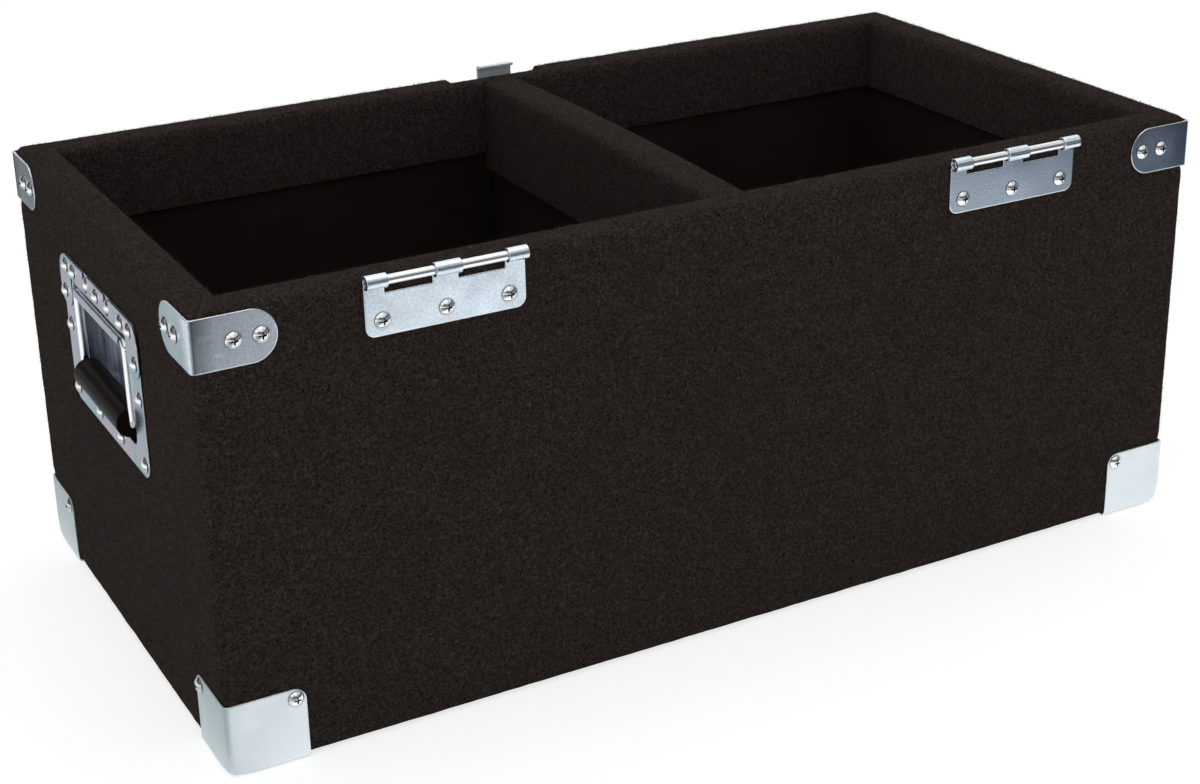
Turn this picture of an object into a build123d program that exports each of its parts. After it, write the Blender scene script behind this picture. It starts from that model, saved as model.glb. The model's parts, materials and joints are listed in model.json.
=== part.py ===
from build123d import *
import math
import os

os.makedirs("parts", exist_ok=True)

# Record case with two bays, open at the top, with its lid lifted off.
# Millimetres. X runs along the case, -Y is the face with the hinges, +Z is up.
# The origin is on the ground, under the middle of the case.

# The case over its carpet
length = 760.0
width = 388.0
height = 313.0
edge_radius = 6.0
bottom_edge_radius = 4.0
rim_radius = 5.0

# Boards and carpet
board = 19.0
floor_gauge = 12.0
carpet = 3.5
wall_band = 58.0
divider_band = 71.0
divider_wrap = 6.0
housing = 6.0

# Holes are drilled this much wider than a screw's radius
drill_room = 0.1
# A drill or a cutter starts this far outside what it cuts
proud = 8.0

# Cross recess screws and domed rivets
screw_head_radius = 5.2
screw_head_height = 3.2
screw_radius = 1.7
screw_length = 16.0
rivet_head_radius = 5.0
rivet_head_height = 2.8
rivet_radius = 1.6
rivet_length = 9.0
small_rivet_scale = 0.62
head_brim = 0.5
recess_span = 4.8
recess_width = 1.2
recess_depth = 1.6
screw_point = 3.0

# Braces round the upright corners, just under the rim
brace_gauge = 1.4
brace_reach = 53.0
brace_height = 34.0
brace_drop = 3.1
brace_bend = 1.6
brace_screw_margin = 3.0
brace_screw_spacing = 17.4

# Pressed corners that the case stands on
foot_gauge = 1.2
foot_reach = 53.0
foot_height = 52.0
foot_corner_radius = 9.0
foot_bend = 3.2
foot_low_bend = 3.0
foot_screw_step = 46.0
foot_screw_height = 45.0

# Hinge halves on the front
hinge_spacing = 436.0
hinge_width = 108.0
hinge_gauge = 1.5
hinge_drop = 9.6
hinge_plate_height = 27.5
hinge_corner_radius = 6.5
hinge_end_knuckle = 13.6
hinge_middle_knuckle = 17.4
hinge_rod_radius = 3.0
hinge_rod_room = 0.05
hinge_rod_recess = 2.0
hinge_axis_rise = -0.4
hinge_roll_gap = 1.6
hinge_screw_spacing = 42.7
hinge_screw_drop = 27.0

# Recessed handles in the ends
handle_pivot_drop = 66.0
handle_wire_radius = 3.25
handle_wire_bend = 4.6
handle_wire_room = 0.08
grip_drop = 57.7
grip_radius = 10.5
grip_length = 99.6
grip_edge_radius = 1.5
grip_end_room = 0.2
grip_room = 2.3
leg_room = 4.15
dish_gauge = 1.2
dish_depth = 16.0
dish_taper = 10.0
dish_corner_radius = 8.0
dish_flange_side = 22.0
dish_flange_low = 16.0
dish_flange_high = 12.5
dish_low_corner = 12.0
strap_gauge = 1.2
strap_web_rise = 8.0
strap_web_room = 1.5
strap_lip_rise = 4.0
strap_roll_room = 0.4
ear_overhang = 2.5
ear_width = 24.0
ear_drop = 37.0
ear_corner_radius = 9.0
strap_corner_radius = 16.0
strap_slot_radius = 5.5
strap_slot_place = 24.0
strap_rivet_places = (0.0, 53.5, 71.0)
strap_rivet_rise = 14.5
ear_rivet_inset = 9.0
ear_rivet_drop = 28.0
side_rivet_drop = 31.0
bottom_rivet_places = (24.0, 75.0)

# Recessed twist latch in the back
latch_width = 76.0
latch_depth = 14.0
latch_drop = 63.0
latch_gauge = 1.2
latch_flange_side = 18.0
latch_flange_low = 12.0
latch_rim_gap = 4.0
latch_flange_radius = 6.0
latch_pivot_drop = 33.0
latch_throw = 3.0
latch_stem_radius = 3.0
latch_stem_room = 0.05
latch_eccentric_radius = 7.0
latch_yoke_room = 1.1
latch_side_room = 0.4
latch_slide_room = 0.3
latch_base_radius = 11.0
latch_cap_radius = 13.0
latch_base_thick = 1.6
latch_cap_thick = 2.4
hook_width = 29.0
hook_gauge = 2.0
hook_rise = 9.3
hook_lip = 4.5
hook_bend = 1.0
hook_foot = 5.0
guide_height = 10.0
guide_drop = 9.0
guide_foot = 13.0
clip_radius = 6.0
clip_gauge = 0.9
clip_groove_room = 0.3
stem_tail = 0.8
block_half_width = 6.0
block_half_height = 3.5
wing_pin_radius = 1.5
wing_pin_room = 0.05
wing_barrel_radius = 3.0
wing_barrel_half = 14.0
wing_gauge = 2.2
wing_radius = 27.0
wing_notch_radius = 9.0
wing_notch_drop = 31.0
wing_swing_room = 0.5
wing_block_room = 1.5
latch_rivet_side = 9.0
latch_side_rivet_drops = (12.0, 50.0)
latch_low_rivet_place = 22.0
latch_low_rivet_drop = 6.0

# Room round a recessed dish in its board
pocket_room = 1.0
relief_radius = 8.0
relief_room = 0.8

# Places worked out from the sizes above
half_length = length / 2
half_width = width / 2
carcass_x = half_length - carpet
carcass_y = half_width - carpet
inside_x = carcass_x - board
inside_y = carcass_y - board
carcass_bottom = foot_gauge + carpet
carcass_top = height - carpet
carcass_radius = edge_radius - carpet
floor_top = carcass_bottom + floor_gauge
lining_x = inside_x - carpet
lining_y = inside_y - carpet
divider_half = board / 2 + divider_wrap

front_face = Plane(origin=(0, -half_width, 0), x_dir=(1, 0, 0), z_dir=(0, -1, 0))
back_face = Plane(origin=(0, half_width, 0), x_dir=(-1, 0, 0), z_dir=(0, 1, 0))
left_face = Plane(origin=(-half_length, 0, 0), x_dir=(0, -1, 0), z_dir=(-1, 0, 0))
right_face = Plane(origin=(half_length, 0, 0), x_dir=(0, 1, 0), z_dir=(1, 0, 0))

pivot_z = height - handle_pivot_drop
grip_z = pivot_z - grip_drop
leg_y = grip_length / 2 + grip_end_room + handle_wire_bend
roll_half = leg_y - handle_wire_bend - strap_roll_room
roll_inner = handle_wire_radius + handle_wire_room
roll_outer = roll_inner + strap_gauge
web_top = pivot_z + strap_web_rise
opening_half = leg_y + handle_wire_radius + leg_room
opening_low = grip_z - grip_radius - grip_room
opening_high = web_top + strap_web_room
dish_half = opening_half + dish_flange_side
dish_low = opening_low - dish_flange_low
dish_high = opening_high + dish_flange_high
ear_half = dish_half + ear_overhang
strap_rivet_z = pivot_z + strap_rivet_rise

latch_half = latch_width / 2
latch_low = height - latch_drop
latch_top = height - latch_rim_gap
latch_pivot_z = height - latch_pivot_drop
latch_floor = back_face.offset(-latch_depth)
hook_back = latch_slide_room * 2 + latch_base_thick
hook_front = hook_back + hook_gauge
cap_back = hook_front + latch_slide_room
cap_front = cap_back + latch_cap_thick
wing_axis = cap_front + wing_swing_room + wing_barrel_radius
yoke_z = latch_pivot_z + latch_throw


def save(piece, name):
    piece.label = name
    export_step(piece, f"parts/{name}.step")


def mirrored(piece, plane):
    return mirror(piece, about=plane)


# Fasteners: +Z points out of the surface, and the head's underside is at the origin
def domed_fastener(head_radius, head_height, shank_radius, shank_length, span):
    drop = head_height - head_brim
    sphere = (head_radius**2 + drop**2) / (2 * drop)
    middle = head_radius / 2
    middle_z = head_height - sphere + math.sqrt(sphere**2 - middle**2)
    with BuildPart() as fastener:
        with BuildSketch(Plane.XZ):
            with BuildLine():
                ThreePointArc((0, head_height), (middle, middle_z), (head_radius, head_brim))
                Polyline(
                    (head_radius, head_brim),
                    (head_radius, 0),
                    (shank_radius, 0),
                    (shank_radius, screw_point - shank_length),
                    (shank_radius / 3, -shank_length),
                    (0, -shank_length),
                    (0, head_height),
                )
            make_face()
        revolve(axis=Axis.Z)
        if span:
            with Locations((0, 0, head_height)):
                Box(span, recess_width, 2 * recess_depth, mode=Mode.SUBTRACT)
                Box(recess_width, span, 2 * recess_depth, mode=Mode.SUBTRACT)
    return fastener.part


def fastener_group(fastener, spots):
    with BuildPart() as group:
        with Locations(*spots):
            add(fastener)
    return group.part


def spots_on(face, points, seat):
    seat_plane = face.offset(seat)
    return [seat_plane.location * Pos(x, z, 0) for x, z in points]


def drills(face, points, radius, depth):
    with BuildPart() as cutters:
        with BuildSketch(face.offset(proud)):
            with Locations(*points):
                Circle(radius + drill_room)
        extrude(amount=-(depth + proud))
    return cutters.part


# Where the fasteners go on each face, as distance across it and height
brace_z = height - brace_drop - brace_height / 2
brace_screw_start = carpet + board + brace_screw_margin
brace_screw_steps = (brace_screw_start, brace_screw_start + brace_screw_spacing)
brace_points_x = [(s * (half_length - step), brace_z) for s in (-1, 1) for step in brace_screw_steps]
brace_points_y = [(s * (half_width - step), brace_z) for s in (-1, 1) for step in brace_screw_steps]
foot_points_x = [(s * (half_length - foot_screw_step), foot_screw_height) for s in (-1, 1)]
foot_points_y = [(s * (half_width - foot_screw_step), foot_screw_height) for s in (-1, 1)]
hinge_points = [
    (side * hinge_spacing / 2 + step * hinge_screw_spacing, height - hinge_screw_drop)
    for side in (-1, 1)
    for step in (-1, 0, 1)
]
strap_points = sorted({(s * y, strap_rivet_z) for y in strap_rivet_places for s in (-1, 1)})
strap_points += [(s * (ear_half - ear_rivet_inset), dish_high - ear_rivet_drop) for s in (-1, 1)]
flange_points = [(s * strap_slot_place, strap_rivet_z) for s in (-1, 1)]
flange_points += [(s * (dish_half - dish_flange_side / 3), pivot_z - side_rivet_drop) for s in (-1, 1)]
flange_points += [(s * y, dish_low + dish_flange_low / 2 + 1) for y in bottom_rivet_places for s in (-1, 1)]
latch_points = [
    (s * (latch_half + latch_rivet_side), height - drop) for s in (-1, 1) for drop in latch_side_rivet_drops
]
latch_points += [(s * latch_low_rivet_place, latch_low - latch_low_rivet_drop) for s in (-1, 1)]
guide_z = height - guide_drop - guide_height / 2
guide_points = [(s * (hook_width / 2 + guide_foot / 2 + 2), guide_z) for s in (-1, 1)]

screw = domed_fastener(screw_head_radius, screw_head_height, screw_radius, screw_length, recess_span)
rivet = domed_fastener(rivet_head_radius, rivet_head_height, rivet_radius, rivet_length, 0)
small_rivet = scale(rivet, by=small_rivet_scale)

brace_screws = []
foot_screws = []
for face, brace_points, foot_points in (
    (front_face, brace_points_x, foot_points_x),
    (back_face, brace_points_x, foot_points_x),
    (left_face, brace_points_y, foot_points_y),
    (right_face, brace_points_y, foot_points_y),
):
    brace_screws += spots_on(face, brace_points, brace_gauge)
    foot_screws += spots_on(face, foot_points, foot_gauge)
save(fastener_group(screw, brace_screws), "brace_screws")
save(fastener_group(screw, foot_screws), "foot_screws")
save(fastener_group(screw, spots_on(front_face, hinge_points, hinge_gauge)), "hinge_screws")
save(fastener_group(rivet, spots_on(back_face, latch_points, latch_gauge)), "latch_rivets")
save(fastener_group(small_rivet, spots_on(latch_floor, guide_points, latch_gauge)), "latch_guide_rivets")

front_drills = drills(front_face, brace_points_x + foot_points_x + hinge_points, screw_radius, screw_length)
back_drills = drills(back_face, brace_points_x + foot_points_x, screw_radius, screw_length)
latch_drills = drills(back_face, latch_points, rivet_radius, rivet_length)
side_drills = drills(left_face, brace_points_y + foot_points_y, screw_radius, screw_length)
handle_drills = drills(left_face, strap_points + flange_points, rivet_radius, rivet_length)
guide_drills = drills(latch_floor, guide_points, small_rivet_scale * rivet_radius, rivet_length)


# Pockets: the space that a handle's or the latch's dish takes in the boards and the carpet
def handle_pocket():
    with BuildPart() as pocket:
        with BuildSketch(left_face.offset(proud)):
            with Locations((0, (opening_low + opening_high) / 2)):
                Rectangle(
                    2 * (opening_half + dish_gauge + pocket_room),
                    opening_high - opening_low + 2 * (dish_gauge + pocket_room),
                )
        extrude(amount=-(proud + dish_depth + dish_gauge + pocket_room))
    return pocket.part


def latch_pocket():
    half = latch_half + latch_gauge + pocket_room
    low = latch_low - latch_gauge - pocket_room
    behind_clip = latch_gauge + clip_groove_room + clip_gauge + stem_tail + relief_room
    with BuildPart() as pocket:
        with BuildSketch(back_face.offset(proud)):
            with Locations((0, low)):
                Rectangle(2 * half, height - low + proud, align=(Align.CENTER, Align.MIN))
        extrude(amount=-(proud + latch_depth + latch_gauge + pocket_room))
        with BuildSketch(latch_floor):
            with Locations((0, latch_pivot_z)):
                Circle(relief_radius)
        extrude(amount=-behind_clip)
    return pocket.part


left_pocket = handle_pocket()
right_pocket = mirrored(left_pocket, Plane.YZ)
back_pocket = latch_pocket()


# Boards
def carcass_slab(low, high, corner, opposite):
    """A board inside the carcass outline, between two corners in plan."""
    with BuildPart() as slab:
        with BuildSketch(Plane.XY.offset(low)):
            RectangleRounded(2 * carcass_x, 2 * carcass_y, carcass_radius)
            with Locations(((corner[0] + opposite[0]) / 2, (corner[1] + opposite[1]) / 2)):
                Rectangle(opposite[0] - corner[0], opposite[1] - corner[1], mode=Mode.INTERSECT)
        extrude(amount=high - low)
    return slab.part


divider_end = inside_y + housing
divider_slab = carcass_slab(floor_top, carcass_top, (-board / 2, -divider_end), (board / 2, divider_end))

with BuildPart() as divider_board:
    add(divider_slab)
    add(back_pocket, mode=Mode.SUBTRACT)
save(divider_board.part, "divider_board")

with BuildPart() as front_board:
    add(carcass_slab(carcass_bottom, carcass_top, (-carcass_x, -carcass_y), (carcass_x, -inside_y)))
    add(divider_slab, mode=Mode.SUBTRACT)
    add(front_drills, mode=Mode.SUBTRACT)
save(front_board.part, "front_board")

with BuildPart() as back_board:
    add(carcass_slab(carcass_bottom, carcass_top, (-carcass_x, inside_y), (carcass_x, carcass_y)))
    add(divider_slab, mode=Mode.SUBTRACT)
    add(back_drills, mode=Mode.SUBTRACT)
    add(latch_drills, mode=Mode.SUBTRACT)
    add(back_pocket, mode=Mode.SUBTRACT)
    add(guide_drills, mode=Mode.SUBTRACT)
save(back_board.part, "back_board")

with BuildPart() as left_board:
    add(carcass_slab(carcass_bottom, carcass_top, (-carcass_x, -inside_y), (-inside_x, inside_y)))
    add(side_drills, mode=Mode.SUBTRACT)
    add(handle_drills, mode=Mode.SUBTRACT)
    add(left_pocket, mode=Mode.SUBTRACT)
save(left_board.part, "left_board")
save(mirrored(left_board.part, Plane.YZ), "right_board")

save(carcass_slab(carcass_bottom, floor_top, (-inside_x, -inside_y), (inside_x, inside_y)), "floor_board")


# Carpet: the outside, with the fold over the rim and the band inside the bays
def case_block(skin, corner_radius, low_radius):
    """A block that stands this far out from the carpet, with its upright and lower edges rounded."""
    low = foot_gauge - skin
    with BuildPart() as block:
        with BuildSketch(Plane.XY.offset(low)):
            RectangleRounded(length + 2 * skin, width + 2 * skin, corner_radius)
        extrude(amount=height - low)
        fillet(block.faces().sort_by(Axis.Z)[0].edges(), low_radius)
    return block.part


outside = case_block(0, edge_radius, bottom_edge_radius)

with BuildPart() as wrap_carpet:
    add(outside)
    with BuildSketch(Plane.XY):
        Rectangle(2 * lining_x, 2 * lining_y)
    extrude(amount=height, mode=Mode.SUBTRACT)
    fillet(wrap_carpet.faces().sort_by(Axis.Z)[-1].edges(), rim_radius)
    with BuildSketch(Plane.XY):
        RectangleRounded(2 * carcass_x, 2 * carcass_y, carcass_radius)
        Rectangle(2 * inside_x, 2 * inside_y, mode=Mode.SUBTRACT)
    extrude(amount=carcass_top, mode=Mode.SUBTRACT)
    with BuildSketch(Plane.XY):
        Rectangle(2 * inside_x, 2 * inside_y)
    extrude(amount=height - wall_band, mode=Mode.SUBTRACT)
    with BuildSketch(Plane.XY):
        Rectangle(2 * divider_half, 2 * inside_y)
    extrude(amount=height, mode=Mode.SUBTRACT)
    for cutter in (front_drills, back_drills, latch_drills, side_drills, handle_drills, left_pocket):
        add(cutter, mode=Mode.SUBTRACT)
    add(mirrored(side_drills, Plane.YZ), mode=Mode.SUBTRACT)
    add(mirrored(handle_drills, Plane.YZ), mode=Mode.SUBTRACT)
    add(right_pocket, mode=Mode.SUBTRACT)
    add(back_pocket, mode=Mode.SUBTRACT)
save(wrap_carpet.part, "wrap_carpet")

with BuildPart() as divider_carpet:
    with BuildSketch(Plane.XY.offset(height - divider_band)):
        Rectangle(2 * divider_half, 2 * inside_y)
    extrude(amount=divider_band)
    fillet(divider_carpet.faces().sort_by(Axis.Z)[-1].edges().filter_by(Axis.Y), rim_radius)
    add(divider_slab, mode=Mode.SUBTRACT)
save(divider_carpet.part, "divider_carpet")

with BuildPart() as base_carpet:
    add(carcass_slab(foot_gauge, carcass_bottom, (-carcass_x, -carcass_y), (carcass_x, carcass_y)))
    add(outside, mode=Mode.INTERSECT)
save(base_carpet.part, "base_carpet")


# Corner braces
def corner_brace():
    """The brace round the front left corner."""
    with BuildPart() as brace:
        with BuildSketch(Plane.XY.offset(height - brace_drop - brace_height)):
            RectangleRounded(length + 2 * brace_gauge, width + 2 * brace_gauge, brace_bend + brace_gauge)
            RectangleRounded(length, width, brace_bend, mode=Mode.SUBTRACT)
            with Locations((-half_length - brace_gauge, -half_width - brace_gauge)):
                Rectangle(
                    brace_reach + brace_gauge,
                    brace_reach + brace_gauge,
                    align=(Align.MIN, Align.MIN),
                    mode=Mode.INTERSECT,
                )
        extrude(amount=brace_height)
        front_end = brace.edges().filter_by(Axis.Y).group_by(Axis.X)[-1]
        side_end = brace.edges().filter_by(Axis.X).group_by(Axis.Y)[-1]
        fillet(front_end + side_end, 0.49 * brace_height)
        add(front_drills, mode=Mode.SUBTRACT)
        add(side_drills, mode=Mode.SUBTRACT)
    return brace.part


# Feet
def foot_corner():
    """The three-sided pressed corner under the front left of the case."""
    with BuildPart() as foot:
        add(case_block(foot_gauge, foot_bend + foot_gauge, foot_low_bend + foot_gauge))
        with Locations((-half_length - foot_gauge, -half_width - foot_gauge, 0)):
            Box(
                foot_reach + foot_gauge,
                foot_reach + foot_gauge,
                foot_height,
                align=(Align.MIN, Align.MIN, Align.MIN),
                mode=Mode.INTERSECT,
            )
        add(case_block(0, foot_bend, foot_low_bend), mode=Mode.SUBTRACT)
        front_end = foot.edges().filter_by(Axis.Y).group_by(Axis.X)[-1].sort_by(Axis.Z)[-1]
        side_end = foot.edges().filter_by(Axis.X).group_by(Axis.Y)[-1].sort_by(Axis.Z)[-1]
        inner_end = foot.edges().filter_by(Axis.Z).group_by(Axis.X)[-1].sort_by(Axis.Y)[-1]
        fillet([front_end, side_end, inner_end], foot_corner_radius)
        add(front_drills, mode=Mode.SUBTRACT)
        add(side_drills, mode=Mode.SUBTRACT)
    return foot.part


for make, title in ((corner_brace, "top_brace"), (foot_corner, "foot_corner")):
    front_left = make()
    front_right = mirrored(front_left, Plane.YZ)
    save(front_left, f"{title}_front_left")
    save(front_right, f"{title}_front_right")
    save(mirrored(front_left, Plane.XZ), f"{title}_back_left")
    save(mirrored(front_right, Plane.XZ), f"{title}_back_right")


# Hinge halves: a plate whose three straps are rolled round a rod, for the lid's hooks
def hinge_leaf(centre):
    plate_top = height - hinge_drop
    axis_z = height + hinge_axis_rise
    roll_inside = hinge_rod_radius + hinge_rod_room
    roll_outside = roll_inside + hinge_gauge
    end_offset = (hinge_width - hinge_end_knuckle) / 2
    knuckles = ((-end_offset, hinge_end_knuckle), (0, hinge_middle_knuckle), (end_offset, hinge_end_knuckle))
    with BuildPart() as leaf:
        with BuildSketch(front_face) as plate:
            with Locations((centre, plate_top)):
                Rectangle(hinge_width, hinge_plate_height, align=(Align.CENTER, Align.MAX))
            fillet(plate.vertices().group_by(Axis.Y)[0], hinge_corner_radius)
            for across, knuckle_width in knuckles:
                with Locations((centre + across, plate_top)):
                    Rectangle(knuckle_width, axis_z - plate_top, align=(Align.CENTER, Align.MIN))
        extrude(amount=hinge_gauge)
        for across, knuckle_width in knuckles:
            with BuildSketch(Plane.YZ.offset(centre + across - knuckle_width / 2)):
                with Locations((-half_width - roll_outside, axis_z)):
                    Circle(roll_outside)
                    Circle(roll_inside, mode=Mode.SUBTRACT)
                with Locations((-half_width - hinge_gauge, axis_z - roll_inside)):
                    Rectangle(
                        hinge_roll_gap,
                        hinge_rod_radius,
                        align=(Align.MAX, Align.MAX),
                        mode=Mode.SUBTRACT,
                    )
            extrude(amount=knuckle_width)
        add(front_drills, mode=Mode.SUBTRACT)
    return leaf.part


def hinge_rod(centre):
    rod_length = hinge_width - 2 * hinge_rod_recess
    axis_y = -half_width - hinge_rod_radius - hinge_rod_room - hinge_gauge
    with BuildPart() as rod:
        with BuildSketch(Plane.YZ.offset(centre - rod_length / 2)):
            with Locations((axis_y, height + hinge_axis_rise)):
                Circle(hinge_rod_radius)
        extrude(amount=rod_length)
        chamfer(rod.edges().filter_by(GeomType.CIRCLE), hinge_rod_radius / 6)
    return rod.part


for side, title in ((-1, "left"), (1, "right")):
    save(hinge_leaf(side * hinge_spacing / 2), f"hinge_leaf_{title}")
    save(hinge_rod(side * hinge_spacing / 2), f"hinge_rod_{title}")


# Left handle; the right one is its mirror image
def handle_dish():
    opening_middle = (opening_low + opening_high) / 2
    opening_height = opening_high - opening_low
    wall = 2 * dish_gauge
    with BuildPart() as dish:
        with BuildSketch(left_face) as flange:
            with Locations((0, (dish_low + dish_high) / 2)):
                Rectangle(2 * dish_half, dish_high - dish_low)
            fillet(flange.vertices().group_by(Axis.Y)[0], dish_low_corner)
            fillet(flange.vertices().group_by(Axis.Y)[-1], strap_corner_radius - ear_overhang)
        extrude(amount=dish_gauge)
        with BuildSketch(left_face):
            with Locations((0, opening_middle)):
                RectangleRounded(
                    2 * opening_half + wall, opening_height + wall, dish_corner_radius + dish_gauge
                )
        extrude(amount=-(dish_depth + dish_gauge), taper=dish_taper)
        with BuildSketch(left_face.offset(dish_gauge)):
            with Locations((0, opening_middle)):
                RectangleRounded(2 * opening_half, opening_height, dish_corner_radius)
        extrude(amount=-(dish_depth + dish_gauge), taper=dish_taper, mode=Mode.SUBTRACT)
        add(handle_drills, mode=Mode.SUBTRACT)
    return dish.part


def handle_strap():
    """The riveted strap with two ears, rolled round the bail's top bar between its legs."""
    band_low = web_top
    with BuildPart() as strap:
        with BuildSketch(left_face.offset(dish_gauge)) as band:
            with Locations((0, band_low)):
                Rectangle(2 * ear_half, dish_high - band_low, align=(Align.CENTER, Align.MIN))
            for side in (-1, 1):
                with Locations((side * (ear_half - ear_width / 2), band_low)):
                    Rectangle(ear_width, ear_drop - (dish_high - band_low), align=(Align.CENTER, Align.MAX))
            fillet(band.vertices().group_by(Axis.Y)[0], ear_corner_radius)
            fillet(band.vertices().group_by(Axis.Y)[-1], strap_corner_radius)
            for side in (-1, 1):
                with Locations((side * strap_slot_place, strap_rivet_z)):
                    Circle(strap_slot_radius, mode=Mode.SUBTRACT)
                    Rectangle(
                        2 * strap_slot_radius,
                        dish_high - strap_rivet_z,
                        align=(Align.CENTER, Align.MIN),
                        mode=Mode.SUBTRACT,
                    )
        extrude(amount=strap_gauge)
        with BuildSketch(Plane.XZ.offset(-roll_half)):
            with Locations((-half_length, pivot_z)):
                Circle(roll_outer)
                Circle(roll_inner, mode=Mode.SUBTRACT)
                Rectangle(
                    2 * roll_outer, roll_outer, align=(Align.CENTER, Align.MIN), mode=Mode.SUBTRACT
                )
            with Locations((-half_length + roll_inner, pivot_z)):
                Rectangle(strap_gauge, strap_web_rise, align=(Align.MIN, Align.MIN))
            with Locations((-half_length - roll_inner, pivot_z)):
                Rectangle(strap_gauge, strap_lip_rise, align=(Align.MAX, Align.MIN))
            with Locations((-half_length + roll_outer, web_top)):
                Rectangle(
                    roll_outer + dish_gauge + strap_gauge, strap_gauge, align=(Align.MAX, Align.MAX)
                )
        extrude(amount=2 * roll_half)
        add(handle_drills, mode=Mode.SUBTRACT)
    return strap.part


def handle_bail():
    with BuildPart() as bail:
        with BuildLine():
            FilletPolyline(
                (-half_length, 0, pivot_z),
                (-half_length, leg_y, pivot_z),
                (-half_length, leg_y, grip_z),
                (-half_length, 0, grip_z),
                radius=handle_wire_bend,
            )
        with BuildSketch(Plane(origin=(-half_length, 0, pivot_z), z_dir=(0, 1, 0))):
            Circle(handle_wire_radius)
        sweep()
        mirror(about=Plane.XZ)
    return bail.part


def handle_grip():
    with BuildPart() as grip:
        with BuildSketch(Plane.XZ.offset(-grip_length / 2)):
            with Locations((-half_length, grip_z)):
                Circle(grip_radius)
        extrude(amount=grip_length)
        fillet(grip.edges().filter_by(GeomType.CIRCLE), grip_edge_radius)
        with BuildSketch(Plane.XZ.offset(-grip_length / 2)):
            with Locations((-half_length, grip_z)):
                Circle(handle_wire_radius)
        extrude(amount=grip_length, mode=Mode.SUBTRACT)
    return grip.part


handle_rivet_spots = spots_on(left_face, strap_points, dish_gauge + strap_gauge)
handle_rivet_spots += spots_on(left_face, flange_points, dish_gauge)
handle_pieces = {
    "dish": handle_dish(),
    "strap": handle_strap(),
    "bail": handle_bail(),
    "grip": handle_grip(),
    "rivets": fastener_group(rivet, handle_rivet_spots),
}
for title, piece in handle_pieces.items():
    save(piece, f"left_handle_{title}")
    save(mirrored(piece, Plane.YZ), f"right_handle_{title}")


# Latch in the back: a dish open at the rim, an eccentric cam, a hook and a folding wing
def latch_plane(out):
    """The plane this far out from the dish's floor."""
    return latch_floor.offset(out)


with BuildPart() as latch_dish:
    with BuildSketch(back_face) as flange:
        with Locations((0, latch_top)):
            Rectangle(
                2 * (latch_half + latch_flange_side),
                latch_top - latch_low + latch_flange_low,
                align=(Align.CENTER, Align.MAX),
            )
        fillet(flange.vertices(), latch_flange_radius)
    extrude(amount=latch_gauge)
    with BuildSketch(back_face):
        with Locations((0, latch_top)):
            Rectangle(
                2 * (latch_half + latch_gauge),
                latch_top - latch_low + latch_gauge,
                align=(Align.CENTER, Align.MAX),
            )
    extrude(amount=-(latch_depth + latch_gauge))
    with BuildSketch(back_face.offset(latch_gauge)):
        with Locations((0, latch_low)):
            Rectangle(2 * latch_half, latch_drop, align=(Align.CENTER, Align.MIN))
    extrude(amount=-(latch_depth + latch_gauge), mode=Mode.SUBTRACT)
    with BuildSketch(latch_floor):
        with Locations((0, latch_pivot_z)):
            Circle(latch_stem_radius + latch_stem_room)
    extrude(amount=-latch_gauge, mode=Mode.SUBTRACT)
    add(latch_drills, mode=Mode.SUBTRACT)
    add(guide_drills, mode=Mode.SUBTRACT)
save(latch_dish.part, "latch_dish")

with BuildPart() as latch_cam:
    tail = latch_gauge + clip_groove_room + clip_gauge + stem_tail
    with BuildSketch(latch_plane(-tail)):
        with Locations((0, latch_pivot_z)):
            Circle(latch_stem_radius)
    extrude(amount=tail + latch_slide_room)
    with BuildSketch(latch_plane(latch_slide_room)):
        with Locations((0, latch_pivot_z)):
            Circle(latch_base_radius)
    extrude(amount=latch_base_thick)
    with BuildSketch(latch_plane(latch_slide_room + latch_base_thick)):
        with Locations((0, yoke_z)):
            Circle(latch_eccentric_radius)
    extrude(amount=hook_gauge + 2 * latch_slide_room)
    with BuildSketch(latch_plane(cap_back)):
        with Locations((0, latch_pivot_z)):
            Circle(latch_cap_radius)
    extrude(amount=latch_cap_thick)
    with BuildSketch(latch_plane(cap_front)):
        with Locations((0, latch_pivot_z)):
            Rectangle(2 * block_half_width, 2 * block_half_height)
    extrude(amount=wing_axis - cap_front + wing_barrel_radius)
    with BuildSketch(Plane.YZ.offset(-block_half_width)):
        with Locations((half_width - latch_depth + wing_axis, latch_pivot_z)):
            Circle(wing_pin_radius)
    extrude(amount=2 * block_half_width, mode=Mode.SUBTRACT)
save(latch_cam.part, "latch_cam")

with BuildPart() as latch_clip:
    with BuildSketch(latch_plane(-latch_gauge - clip_groove_room)):
        with Locations((0, latch_pivot_z)):
            Circle(clip_radius)
            Circle(latch_stem_radius, mode=Mode.SUBTRACT)
    extrude(amount=-clip_gauge)
save(latch_clip.part, "latch_clip")

with BuildPart() as latch_wing_pin:
    with BuildSketch(Plane.YZ.offset(-wing_barrel_half)):
        with Locations((half_width - latch_depth + wing_axis, latch_pivot_z)):
            Circle(wing_pin_radius)
    extrude(amount=2 * wing_barrel_half)
save(latch_wing_pin.part, "latch_wing_pin")

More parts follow.
